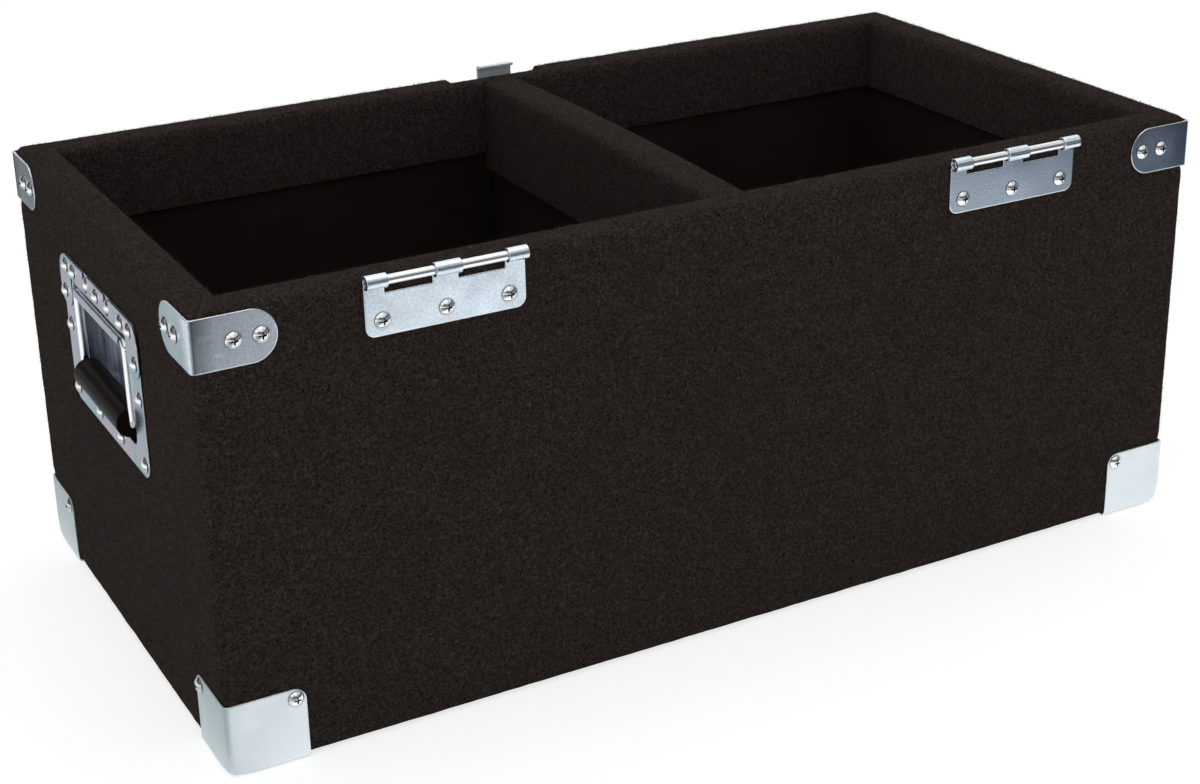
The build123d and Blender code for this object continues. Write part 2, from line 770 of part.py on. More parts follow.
with BuildPart() as latch_wing:
    block_gap = block_half_width + latch_slide_room
    with BuildSketch(latch_plane(wing_axis - wing_gauge / 2)) as blade:
        with Locations((0, latch_pivot_z)):
            Circle(wing_radius)
            Rectangle(
                2 * wing_radius, wing_radius, align=(Align.CENTER, Align.MIN), mode=Mode.SUBTRACT
            )
            Rectangle(
                2 * block_gap,
                block_half_height + wing_block_room,
                align=(Align.CENTER, Align.MAX),
                mode=Mode.SUBTRACT,
            )
        with Locations((0, latch_pivot_z - wing_notch_drop)):
            Circle(wing_notch_radius, mode=Mode.SUBTRACT)
        fillet(blade.vertices().group_by(Axis.Y)[0], wing_gauge)
    extrude(amount=wing_gauge)
    for start in (-wing_barrel_half, block_gap):
        with BuildSketch(Plane.YZ.offset(start)):
            with Locations((half_width - latch_depth + wing_axis, latch_pivot_z)):
                Circle(wing_barrel_radius)
        extrude(amount=wing_barrel_half - block_gap)
    with BuildSketch(Plane.YZ.offset(-wing_barrel_half)):
        with Locations((half_width - latch_depth + wing_axis, latch_pivot_z)):
            Circle(wing_pin_radius + wing_pin_room)
    extrude(amount=2 * wing_barrel_half, mode=Mode.SUBTRACT)
save(latch_wing.part, "latch_wing")

with BuildPart() as latch_hook:
    hook_top = height + hook_rise
    yoke_half = latch_eccentric_radius + latch_yoke_room
    hook_low = yoke_z - yoke_half - hook_foot
    hook_y = half_width - latch_depth + hook_front
    with BuildSketch(Plane.YZ.offset(-hook_width / 2)) as section:
        with Locations((hook_y, hook_low)):
            Rectangle(hook_gauge, hook_top - hook_low, align=(Align.MAX, Align.MIN))
        with Locations((hook_y, hook_top)):
            Rectangle(hook_gauge + hook_lip, hook_gauge, align=(Align.MAX, Align.MAX))
        fillet(section.vertices().group_by(Axis.Y)[-1].sort_by(Axis.X)[-1], hook_bend + hook_gauge / 2)
    extrude(amount=hook_width)
    with BuildSketch(latch_plane(hook_back)):
        with Locations((0, yoke_z)):
            Rectangle(2 * (latch_eccentric_radius + latch_throw + latch_side_room), 2 * yoke_half)
    extrude(amount=hook_gauge, mode=Mode.SUBTRACT)
save(latch_hook.part, "latch_hook")

with BuildPart() as latch_guide:
    riser = hook_width / 2 + latch_slide_room
    bridge = hook_front + latch_slide_room
    guide_floor_y = half_width - latch_depth
    with BuildSketch(Plane.XY.offset(guide_z - guide_height / 2)):
        with Locations((0, guide_floor_y)):
            Rectangle(
                2 * (riser + latch_gauge + guide_foot), latch_gauge, align=(Align.CENTER, Align.MIN)
            )
            Rectangle(2 * (riser + latch_gauge), bridge + latch_gauge, align=(Align.CENTER, Align.MIN))
            Rectangle(2 * riser, bridge, align=(Align.CENTER, Align.MIN), mode=Mode.SUBTRACT)
    extrude(amount=guide_height)
    add(guide_drills, mode=Mode.SUBTRACT)
save(latch_guide.part, "latch_guide")
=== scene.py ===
"""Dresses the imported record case: felt and its nap, painted boards, plated steel, rubber grips."""

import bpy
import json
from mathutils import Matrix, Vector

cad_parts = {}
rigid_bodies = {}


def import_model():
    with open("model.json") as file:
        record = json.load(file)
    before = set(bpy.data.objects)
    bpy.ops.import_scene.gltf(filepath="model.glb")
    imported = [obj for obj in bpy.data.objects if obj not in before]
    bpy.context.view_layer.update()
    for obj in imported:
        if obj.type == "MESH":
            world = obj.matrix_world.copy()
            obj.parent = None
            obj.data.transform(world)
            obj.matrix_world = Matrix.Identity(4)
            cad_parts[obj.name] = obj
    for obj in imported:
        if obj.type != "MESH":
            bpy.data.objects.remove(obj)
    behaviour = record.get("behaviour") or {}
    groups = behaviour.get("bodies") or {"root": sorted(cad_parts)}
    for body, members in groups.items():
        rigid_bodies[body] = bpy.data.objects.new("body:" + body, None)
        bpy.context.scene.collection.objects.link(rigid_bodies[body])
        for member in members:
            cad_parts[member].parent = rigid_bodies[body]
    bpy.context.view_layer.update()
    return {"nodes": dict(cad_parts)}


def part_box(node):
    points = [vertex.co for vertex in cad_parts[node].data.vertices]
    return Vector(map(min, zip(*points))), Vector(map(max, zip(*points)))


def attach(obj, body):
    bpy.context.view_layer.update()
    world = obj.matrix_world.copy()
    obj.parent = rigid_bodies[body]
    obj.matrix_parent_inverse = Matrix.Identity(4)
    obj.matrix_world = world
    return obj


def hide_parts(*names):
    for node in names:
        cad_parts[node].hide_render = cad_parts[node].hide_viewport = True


bl_info = {
    "name": "Record Case Dressing",
    "version": (1, 0, 0),
    "blender": (4, 5, 0),
    "location": "View3D > Sidebar > Record Case",
    "description": "Covers the record case in felt and finishes its boards, steel and grips",
    "category": "Object",
}

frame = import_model()

import json
import math

import bpy
import numpy as np
from bpy.props import FloatProperty, FloatVectorProperty, IntProperty, PointerProperty
from mathutils import Vector

# The case's own planes and thicknesses, read from the frame, in metres
HALF_LENGTH, HALF_WIDTH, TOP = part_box("wrap_carpet")[1]
BASE_LOW, BASE_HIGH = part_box("base_carpet")
DIVIDER_LOW, DIVIDER_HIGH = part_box("divider_carpet")
BOTTOM = BASE_LOW.z
BOARD_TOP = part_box("front_board")[1].z
FELT = HALF_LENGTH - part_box("front_board")[1].x
WALL = HALF_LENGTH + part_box("left_board")[1].x + FELT
# Places nearer than a hair, in metres, count as one, and a length under nothing counts as none
HAIR = 1e-6
NOTHING = 1e-9
# How many square centimetres there are in a square metre
SQUARE_CENTIMETRES = 1e4

# the steel's bright edges: partly bared by wear, partly a painted highlight where the edges catch
# light
EDGE_WEAR_AND_HIGHLIGHT = (0.95, 0.97, 0.98, 1.0)
# PAINTED_CREASE_SHADE is painted shade: the colour put into creases, recesses and joints where shade
# falls
PAINTED_CREASE_SHADE = (0.02, 0.022, 0.025, 1.0)

BRACES = [n for n in frame["nodes"] if n.startswith("top_brace")]
HINGE_LEAVES = [n for n in frame["nodes"] if n.startswith("hinge_leaf")]
FOOT_CORNERS = [n for n in frame["nodes"] if n.startswith("foot_corner")]
DISHES = ["left_handle_dish", "right_handle_dish", "left_handle_strap", "right_handle_strap"]
LATCH_PLATES = ["latch_dish", "latch_hook", "latch_guide", "latch_wing", "latch_cam"]
STEEL_ON_FELT = BRACES + HINGE_LEAVES + FOOT_CORNERS + DISHES + ["latch_dish"]
WIRES = ["hinge_rod_left", "hinge_rod_right", "left_handle_bail", "right_handle_bail"]
FASTENERS = ["latch_clip", "latch_wing_pin"]
FASTENERS += [n for n in frame["nodes"] if n.endswith(("screws", "rivets"))]
BOARDS = [n for n in frame["nodes"] if n.endswith("_board")]
GRIPS = ["left_handle_grip", "right_handle_grip"]


class StudioSettings(bpy.types.PropertyGroup):
    camera_place: FloatVectorProperty(
        name="Camera Place",
        description="Where the camera stands",
        default=(-0.71518, -1.31779, 0.76311),
        subtype="TRANSLATION",
        unit="LENGTH",
        precision=4,
    )
    camera_turn: FloatVectorProperty(
        name="Camera Turn",
        description="How the camera is turned",
        default=(math.radians(68.4093), math.radians(0.9560), math.radians(-29.0130)),
        subtype="EULER",
    )
    lens: FloatProperty(
        name="Lens", description="Focal length", default=64.456, subtype="DISTANCE_CAMERA"
    )
    shift: FloatVectorProperty(
        name="Shift",
        description="How far the frame is shifted on the sensor",
        size=2,
        default=(-0.01098, -0.06481),
    )
    floor_size: FloatProperty(
        name="Floor Size", description="Width of the pale floor", default=30.0, subtype="DISTANCE"
    )
    sky_light: FloatProperty(
        name="Sky Light",
        description="Strength of the even light from all round",
        default=0.74,
        min=0.0,
    )
    overhead_power: FloatProperty(
        name="Overhead Power",
        description="Power of the large softbox overhead",
        default=17.0,
        subtype="POWER",
    )
    side_power: FloatProperty(
        name="Side Power",
        description="Power of the softbox beside the camera",
        default=4.5,
        subtype="POWER",
    )


class FeltSettings(bpy.types.PropertyGroup):
    colour: FloatVectorProperty(
        name="Felt Colour",
        description="Colour of the felt between its tufts",
        default=(0.0006, 0.0004, 0.0003),
        subtype="COLOR",
    )
    tuft_colour: FloatVectorProperty(
        name="Tuft Colour",
        description="Colour of the felt's raised tufts",
        default=(0.0780, 0.0585, 0.0505),
        subtype="COLOR",
    )
    tuft_cast: FloatVectorProperty(
        name="Tuft Cast",
        description="The cooler cast that some of the tufts have",
        default=(0.0490, 0.0368, 0.0375),
        subtype="COLOR",
    )
    fibre_colour: FloatVectorProperty(
        name="Fibre Colour",
        description="Colour of the lightest fibres",
        default=(0.110, 0.084, 0.071),
        subtype="COLOR",
    )
    edge_radius: FloatProperty(
        name="Edge Radius",
        description="Rounding of the outer edges",
        default=0.006,
        subtype="DISTANCE",
    )
    rim_radius: FloatProperty(
        name="Rim Radius",
        description="Rounding of the rim's inner edge",
        default=0.005,
        subtype="DISTANCE",
    )
    under_fold: FloatProperty(
        name="Under Fold",
        description="How far the felt is turned under the case",
        default=0.009,
        subtype="DISTANCE",
    )
    band: FloatProperty(
        name="Band",
        description="Depth of the felt inside the bays",
        default=0.058,
        subtype="DISTANCE",
    )
    swell: FloatProperty(
        name="Swell",
        description="How far the felt swells out between the steel that presses it down",
        default=0.0008,
        subtype="DISTANCE",
    )
    divider_crown: FloatProperty(
        name="Divider Crown",
        description="Rise of the divider's felt halfway along it",
        default=0.0026,
        subtype="DISTANCE",
    )
    lump_height: FloatProperty(
        name="Lump Height",
        description="Height of the felt's soft lumps",
        default=0.0007,
        subtype="DISTANCE",
    )
    lump_width: FloatProperty(
        name="Lump Width",
        description="Width of the felt's soft lumps",
        default=0.013,
        subtype="DISTANCE",
    )
    fibre_length: FloatProperty(
        name="Fibre Length",
        description="Length of a short fibre",
        default=0.0022,
        subtype="DISTANCE",
    )
    curl_length: FloatProperty(
        name="Curl Length",
        description="Length of a stray curled fibre",
        default=0.0036,
        subtype="DISTANCE",
    )
    fibre_radius: FloatProperty(
        name="Fibre Radius",
        description="Radius of a fibre at its root",
        default=0.0001,
        subtype="DISTANCE",
    )
    wall_fibres: FloatProperty(
        name="Wall Fibres",
        description="Short fibres on a square centimetre of the walls",
        default=16.0,
        min=0.0,
    )
    rim_fibres: FloatProperty(
        name="Rim Fibres",
        description="Short fibres on a square centimetre of the rim",
        default=42.0,
        min=0.0,
    )
    stray_curls: FloatProperty(
        name="Stray Curls",
        description="Curled fibres on a square centimetre of the walls",
        default=1.6,
        min=0.0,
    )
    seed: IntProperty(name="Seed", description="Where the fibres fall", default=7)


class MetalSettings(bpy.types.PropertyGroup):
    brace_zinc: FloatVectorProperty(
        name="Brace Zinc",
        description="Colour of the corner braces' plating",
        default=(0.57, 0.63, 0.72),
        subtype="COLOR",
    )
    leaf_zinc: FloatVectorProperty(
        name="Leaf Zinc",
        description="Colour of the hinge leaves' plating",
        default=(0.76, 0.86, 0.94),
        subtype="COLOR",
    )
    pale_zinc: FloatVectorProperty(
        name="Pale Zinc",
        description="Colour of the foot corners' plating",
        default=(0.69, 0.75, 0.78),
        subtype="COLOR",
    )
    violet_zinc: FloatVectorProperty(
        name="Violet Zinc",
        description="The pink cast of the handle's plating",
        default=(0.72, 0.61, 0.74),
        subtype="COLOR",
    )
    blue_zinc: FloatVectorProperty(
        name="Blue Zinc",
        description="The blue cast of the handle's plating",
        default=(0.50, 0.63, 0.74),
        subtype="COLOR",
    )
    nickel: FloatVectorProperty(
        name="Nickel",
        description="Colour of the bright fasteners",
        default=(0.84, 0.86, 0.87),
        subtype="COLOR",
    )
    foot_bend: FloatProperty(
        name="Foot Bend",
        description="Outer radius of a foot corner's bends",
        default=0.0032,
        subtype="DISTANCE",
    )
    foot_ball: FloatProperty(
        name="Foot Ball",
        description="Radius of a foot corner's round point",
        default=0.0068,
        subtype="DISTANCE",
    )
    foot_blend: FloatProperty(
        name="Foot Blend",
        description="How far up its bends the round point reaches",
        default=0.02,
        subtype="DISTANCE",
    )
    foot_leaf_radius: FloatProperty(
        name="Foot Leaf Radius",
        description="Rounding of the free corners of a foot",
        default=0.009,
        subtype="DISTANCE",
    )
    foot_gauge: FloatProperty(
        name="Foot Gauge",
        description="Thickness of a foot corner's sheet",
        default=0.0012,
        subtype="DISTANCE",
    )


class BoardSettings(bpy.types.PropertyGroup):
    paint: FloatVectorProperty(
        name="Paint",
        description="Colour of the paint on the boards",
        default=(0.0105, 0.0058, 0.0046),
        subtype="COLOR",
    )
    rubber: FloatVectorProperty(
        name="Rubber",
        description="Colour of the grips",
        default=(0.0060, 0.0038, 0.0029),
        subtype="COLOR",
    )


class RecordCaseSettings(bpy.types.PropertyGroup):
    studio: PointerProperty(type=StudioSettings)
    felt: PointerProperty(type=FeltSettings)
    metal: PointerProperty(type=MetalSettings)
    board: PointerProperty(type=BoardSettings)


# Modelling helpers
def start_clean():
    """Leaves edit mode and deselects everything, as operators act on all that is selected."""
    if bpy.context.object and bpy.context.object.mode != "OBJECT":
        bpy.ops.object.mode_set(mode="OBJECT")
    bpy.ops.object.select_all(action="DESELECT")


def pick(piece):
    """Makes a piece the one that operators act on."""
    start_clean()
    piece.select_set(True)
    bpy.context.view_layer.objects.active = piece


def settle(piece, name):
    """Names a piece and puts its place into its mesh."""
    pick(piece)
    bpy.ops.object.transform_apply(location=True, rotation=True, scale=True)
    piece.name = piece.data.name = name
    return piece


def add_block(name, low, high):
    """A box between two corners."""
    start_clean()
    low, high = Vector(low), Vector(high)
    bpy.ops.mesh.primitive_cube_add(size=1, location=(low + high) / 2)
    bpy.context.object.scale = high - low
    return settle(bpy.context.object, name)


def read(parts, key, width=3):
    """One value of every vertex, edge or face, as an array."""
    values = np.empty(len(parts) * width)
    parts.foreach_get(key, values)
    return values.reshape(-1, width)


def coordinates(piece):
    return read(piece.data.vertices, "co")


def place_vertices(piece, places):
    piece.data.vertices.foreach_set("co", places.ravel())
    piece.data.update()


def ease(share):
    """A smooth step from 0 to 1."""
    share = np.clip(share, 0.0, 1.0)
    return share * share * (3 - 2 * share)


def choose(piece, kind, test):
    """Selects the edges or faces whose middles and directions pass a test; stays in edit mode."""
    bpy.ops.object.mode_set(mode="EDIT")
    bpy.ops.mesh.select_mode(type=kind)
    bpy.ops.mesh.select_all(action="DESELECT")
    bpy.ops.object.mode_set(mode="OBJECT")
    if kind == "EDGE":
        parts = piece.data.edges
        ends = coordinates(piece)[read(parts, "vertices", 2).astype(int)]
        chosen = test(ends.mean(1), ends[:, 1] - ends[:, 0])
    else:
        parts = piece.data.polygons
        chosen = test(read(parts, "center"), read(parts, "normal"))
    parts.foreach_set("select", chosen)
    bpy.ops.object.mode_set(mode="EDIT")


def cut_edges(piece, cuts, test):
    """Cuts each edge that passes a test a number of times."""
    choose(piece, "EDGE", test)
    bpy.ops.mesh.subdivide(number_cuts=cuts)
    bpy.ops.object.mode_set(mode="OBJECT")


def split_along(piece, axis, *counts):
    """Cuts every edge that runs along an axis into equal parts, once for each count."""
    others = [i for i in range(3) if i != axis]
    for count in counts:
        cut_edges(
            piece, count - 1, lambda middle, run: abs(run[:, axis]) > 4 * abs(run[:, others]).max(1)
        )


def apply_modifier(piece, kind, **settings):
    pick(piece)
    modifier = piece.modifiers.new("step", kind)
    for key, value in settings.items():
        setattr(modifier, key, value)
    bpy.ops.object.modifier_apply(modifier=modifier.name)


def roughen(piece, settings):
    """Raises the felt's soft lumps on a piece's surface."""
    texture = bpy.data.textures.new("lumps", "CLOUDS")
    texture.noise_scale = settings.lump_width
    texture.noise_depth = 2
    apply_modifier(
        piece, "DISPLACE", texture=texture, strength=settings.lump_height, mid_level=0.5,
        texture_coords="LOCAL",
    )
    bpy.data.textures.remove(texture)


def face_outwards():
    """Turns the normals of the mesh in edit mode outwards, and leaves edit mode."""
    bpy.ops.mesh.select_all(action="SELECT")
    bpy.ops.mesh.normals_make_consistent(inside=False)
    bpy.ops.object.mode_set(mode="OBJECT")


def cut_away(piece, cutters):
    """Cuts the cutters' shapes out of a piece and removes them."""
    for cutter in cutters:
        apply_modifier(piece, "BOOLEAN", object=cutter, operation="DIFFERENCE", solver="EXACT")
        bpy.data.objects.remove(cutter)


def smooth(piece, degrees):
    pick(piece)
    bpy.ops.object.shade_smooth_by_angle(angle=math.radians(degrees))


# Node helpers
class Nodes:
    """A node tree with short ways to add and join nodes."""

    def __init__(self, tree):
        self.tree = tree

    def feed(self, node, inputs):
        """Links each input of a node to what it is given, or sets it to a plain value."""
        for socket, value in inputs.items():
            if isinstance(value, bpy.types.NodeSocket):
                self.tree.links.new(value, node.inputs[socket])
            else:
                node.inputs[socket].default_value = value

    def add(self, kind, inputs=None, **settings):
        node = self.tree.nodes.new(kind)
        for key, value in settings.items():
            setattr(node, key, value)
        self.feed(node, inputs or {})
        return node


class Shader(Nodes):
    """A material's, world's or group's node tree, with short ways to the nodes that it uses."""

    def place(self):
        """Each point's place on the case, in metres."""
        return self.add("ShaderNodeTexCoord").outputs["Object"]

    def apart(self, place):
        return self.add("ShaderNodeSeparateXYZ", {"Vector": place}).outputs

    def vectors(self, operation, first, second):
        node = self.add("ShaderNodeVectorMath", {0: first, 1: second}, operation=operation)
        return node.outputs["Value" if operation in ("DISTANCE", "DOT_PRODUCT") else "Vector"]

    def scaled(self, vector, scale):
        inputs = {0: vector, "Scale": scale}
        return self.add("ShaderNodeVectorMath", inputs, operation="SCALE").outputs["Vector"]

    def mapped(self, vector, **settings):
        inputs = {name.title(): value for name, value in settings.items()}
        return self.add("ShaderNodeMapping", {"Vector": vector, **inputs}).outputs["Vector"]

    def noise(self, where, scale, detail=2.0, roughness=0.5, output="Fac"):
        inputs = {"Vector": where, "Scale": scale, "Detail": detail, "Roughness": roughness}
        return self.add("ShaderNodeTexNoise", inputs).outputs[output]

    def between(self, value, low, high, to_low=0.0, to_high=1.0):
        """A value from low to high, moved to another range and held in it."""
        inputs = {
            "Value": value, "From Min": low, "From Max": high, "To Min": to_low, "To Max": to_high,
        }
        return self.add("ShaderNodeMapRange", inputs).outputs["Result"]

    def mix(self, share, first, second):
        """A colour between two others."""
        node = self.add("ShaderNodeMix", {0: share, 6: first, 7: second}, data_type="RGBA")
        return node.outputs[2]

    def blend(self, share, first, second):
        """A value between two others."""
        node = self.add("ShaderNodeMix", {"Factor": share, "A": first, "B": second})
        return node.outputs["Result"]

    def maths(self, operation, first, second):
        return self.add("ShaderNodeMath", {0: first, 1: second}, operation=operation).outputs[0]

    def times(self, first, second):
        return self.maths("MULTIPLY", first, second)

    def ramp(self, value, *stops):
        """A value that goes straight from each stop, a place and a level, to the next."""
        node = self.add("ShaderNodeValToRGB", {"Fac": value})
        elements = node.color_ramp.elements
        while len(elements) < len(stops):
            elements.new(1.0)
        for element, (place, level) in zip(elements, stops):
            element.position = place
            element.color = grey(level)
        return node.outputs["Color"]

    def bump(self, height, distance, normal=None, strength=1.0):
        """The surface's direction with a height of so many metres raised on it."""
        inputs = {"Strength": strength, "Distance": distance, "Height": height}
        if normal is not None:
            inputs["Normal"] = normal
        return self.add("ShaderNodeBump", inputs).outputs["Normal"]

    def rays(self):
        """Whether a ray is the camera's own, and whether it is a mirror's."""
        rays = self.add("ShaderNodeLightPath").outputs
        own = self.maths("MAXIMUM", rays["Is Camera Ray"], rays["Is Transmission Ray"])
        return own, rays["Is Glossy Ray"]

    def openness(self, distance, samples):
        """How open a point is, from 0 in a crease to 1, looking no farther than a distance."""
        node = self.add("ShaderNodeAmbientOcclusion", {"Distance": distance}, samples=samples)
        return node.outputs["AO"]


def opaque(colour, share=1.0):
    """A colour, or a share of it, as a socket takes it."""
    return (*(c * share for c in colour), 1.0)


def grey(level):
    return (level, level, level, 1.0)


def new_group(name, inputs, outputs):
    """A group for an effect that materials share; returns its shader, inputs and output node."""
    tree = bpy.data.node_groups.new(name, "ShaderNodeTree")
    for socket, default in inputs.items():
        made = tree.interface.new_socket(socket, in_out="INPUT", socket_type="NodeSocketFloat")
        made.default_value = default
    for socket in outputs:
        kind = "NodeSocketVector" if socket.endswith("Normal") else "NodeSocketFloat"
        tree.interface.new_socket(socket, in_out="OUTPUT", socket_type=kind)
    return Shader(tree), tree.nodes.new("NodeGroupInput").outputs, tree.nodes.new("NodeGroupOutput")


def plating_group():
    """Plated sheet: clouds, spangle, scratches, cut edges, slight waves, and a mask for painted
    shade in creases and where parts meet.
    """
    outputs = ("Clouds", "Spangle", "Scratches", "Edge", "Waves", "Crease Shade", "Edge Normal")
    shader, given, result = new_group("Plating", {"Scale": 1.0, "Edge Width": 0.0011}, outputs)
    where = shader.scaled(shader.place(), given["Scale"])
    rubbed = shader.mapped(where, rotation=(0.6, 0.9, 0.3), scale=(30.0, 900.0, 60.0))
    bevel = shader.add("ShaderNodeBevel", {"Radius": given["Edge Width"]}, samples=6)
    flat = shader.add("ShaderNodeNewGeometry").outputs["Normal"]
    turn = shader.vectors("DOT_PRODUCT", bevel.outputs["Normal"], flat)
    shader.feed(result, {
        "Clouds": shader.between(shader.noise(where, 48.0, 3.0), 0.35, 0.65),
        "Spangle": shader.between(shader.noise(where, 620.0, 3.0, 0.6), 0.3, 0.7),
        "Scratches": shader.between(shader.noise(rubbed, 1.7, 1.0), 0.68, 0.73),
        "Edge": shader.between(turn, 0.985, 0.88),
        "Waves": shader.noise(where, 17.0, 1.0),
        # painted shade: a mask that is high in creases and where parts meet
        "Crease Shade": shader.between(shader.openness(0.0016, samples=6), 0.92, 0.6),
        "Edge Normal": bevel.outputs["Normal"],
    })


def felt_group():
    """Needle felt: curled strands, soft tufts, a broad mottle, patches of cast and a height."""
    outputs = ("Strands", "Tufts", "Mottle", "Cast", "Height")
    shader, given, result = new_group("Needle Felt", {"Strand Scale": 520.0}, outputs)
    where = shader.place()
    bent = shader.scaled(shader.noise(where, 240.0, output="Color"), 0.006)
    moved = shader.vectors("ADD", where, bent)
    strands = shader.maths(
        "MAXIMUM",
        ridges(shader, moved, given["Strand Scale"], 0.86),
        ridges(shader, moved, shader.times(given["Strand Scale"], 2.3), 0.80),
    )
    tufts = shader.noise(moved, 470.0, 3.0, 0.7)
    shader.feed(result, {
        "Strands": strands,
        "Tufts": shader.between(tufts, 0.45, 0.62),
        "Mottle": shader.between(shader.noise(where, 34.0, 4.0, 0.6), 0.32, 0.68),
        "Cast": shader.between(shader.noise(where, 210.0, 3.0, 0.7), 0.4, 0.6),
        "Height": shader.maths("ADD", shader.times(strands, 0.35), tufts),
    })


def ridges(shader, where, scale, start):
    """Thin curled lines, which lie where a noise crosses its middle."""
    wave = shader.maths("SUBTRACT", shader.times(shader.noise(where, scale), 2.0), 1.0)
    line = shader.maths("SUBTRACT", 1.0, shader.maths("ABSOLUTE", wave, 0.0))
    return shader.between(line, start, 0.99)


def new_material(name):
    """A material's shader and its surface."""
    material = bpy.data.materials.new(name)
    material.use_nodes = True
    return Shader(material.node_tree), material.node_tree.nodes["Principled BSDF"]


def group_outputs(shader, name, **inputs):
    """Places a shared effect in a material and returns what it puts out."""
    inputs = {key.title(): value for key, value in inputs.items()}
    return shader.add("ShaderNodeGroup", inputs, node_tree=bpy.data.node_groups[name]).outputs


def felt_material(name, settings, share):
    """Needle felt whose tufts have a share of their full lightness."""
    shader, surface = new_material(name)
    out = group_outputs(shader, "Needle Felt")
    tuft = shader.mix(
        out["Cast"], opaque(settings.tuft_colour, share), opaque(settings.tuft_cast, share)
    )
    tufted = shader.mix(out["Tufts"], opaque(settings.colour), tuft)
    mottled = shader.mix(shader.times(out["Mottle"], 0.36), tufted, opaque(settings.colour, 5))
    stranded = shader.mix(shader.times(out["Strands"], 0.5), mottled, opaque(settings.fibre_colour))
    shader.feed(surface, {
        "Base Color": stranded,
        "Normal": shader.bump(out["Height"], 0.0011),
        "Roughness": 0.95,
        "Specular IOR Level": 0.05,
        "Sheen Weight": 0.012,
        "Sheen Roughness": 0.45,
        "Sheen Tint": (1.0, 0.86, 0.76, 1.0),
    })


def nap_material(name, settings, share):
    """Fibres whose tips have a share of their full lightness."""
    shader, surface = new_material(name)
    shade = shader.add("ShaderNodeAttribute", attribute_name="shade").outputs["Fac"]
    patch = shader.between(shader.noise(shader.place(), 90.0), 0.3, 0.7, 0.35, 1.0)
    colour = shader.mix(
        shader.times(shade, patch), opaque(settings.colour), opaque(settings.fibre_colour, share)
    )
    shader.feed(surface, {"Base Color": colour, "Roughness": 0.85, "Specular IOR Level": 0.05})


def steel_material(name, colour, tint, roughness, tint_share=0.3, waves=0.0010, dimples=0.000018,
                   metallic=1.0, drawn=0.0, wear=0.25, speckle=0.4):
    """Plated sheet: cloudy colour, uneven gloss, fine grain, some scratches, bright edges that are
    partly worn and partly a painted highlight, and painted shade in creases.
    """
    shader, surface = new_material(name)
    out = group_outputs(shader, "Plating")
    cloudy = shader.mix(shader.times(out["Clouds"], tint_share), opaque(colour), opaque(tint))
    spangled = shader.mix(shader.times(out["Spangle"], speckle), cloudy, opaque(colour, 0.62))
    bright = opaque([min(1.0, c * 1.35 + 0.1) for c in colour])
    scratched = shader.mix(shader.times(out["Scratches"], wear), spangled, bright)
    # painted shade: the sheet is darkened where it lies in a crease or meets another part
    crease_shaded = shader.mix(shader.times(out["Crease Shade"], 0.8), scratched, PAINTED_CREASE_SHADE)
    gloss = shader.maths("ADD", out["Clouds"], out["Spangle"])
    normal = shader.bump(out["Waves"], waves, out["Edge Normal"])
    normal = shader.bump(out["Spangle"], dimples, normal)
    if drawn:
        normal = shader.bump(drawn_back(shader), drawn, normal)
    shader.feed(surface, {
        # bright edges: partly edge wear, partly painted highlight
        "Base Color": shader.mix(out["Edge"], crease_shaded, EDGE_WEAR_AND_HIGHLIGHT),
        "Roughness": shader.between(gloss, 0.0, 2.0, roughness * 0.78, roughness * 1.25),
        "Normal": normal,
        "Metallic": metallic,
    })


def drawn_back(shader):
    """A height that falls away, ever steeper, towards the bend between a brace's leaves."""
    reach = 0.015
    place = shader.apart(shader.place())
    curves = []
    for axis, half in (("X", HALF_LENGTH), ("Y", HALF_WIDTH)):
        near = shader.between(shader.maths("ABSOLUTE", place[axis], 0.0), half - reach, half)
        curves.append(shader.maths("POWER", near, 2.0))
    return shader.times(shader.maths("ADD", *curves), -1.0)


def fastener_material(metal):
    """Bright screw and rivet heads, with painted shade in their recesses and where they meet the
    sheet.
    """
    shader, surface = new_material("bright fasteners")
    # painted shade: the less open a point is, the darker its colour
    light = shader.between(shader.openness(0.0022, samples=8), 0.5, 0.88, 0.03, 1.0)
    colour = shader.mix(light, PAINTED_CREASE_SHADE, opaque(metal.nickel))
    shader.feed(surface, {"Base Color": colour, "Metallic": 1.0, "Roughness": 0.16})


def wire_material(metal):
    """The bright drawn wire of the hinge rods and the bails."""
    shader, surface = new_material("bright wire")
    haze = shader.noise(shader.place(), 300.0)
    shader.feed(surface, {
        "Base Color": opaque(metal.nickel),
        "Metallic": 1.0,
        "Roughness": shader.between(haze, 0.35, 0.65, 0.07, 0.14),
    })


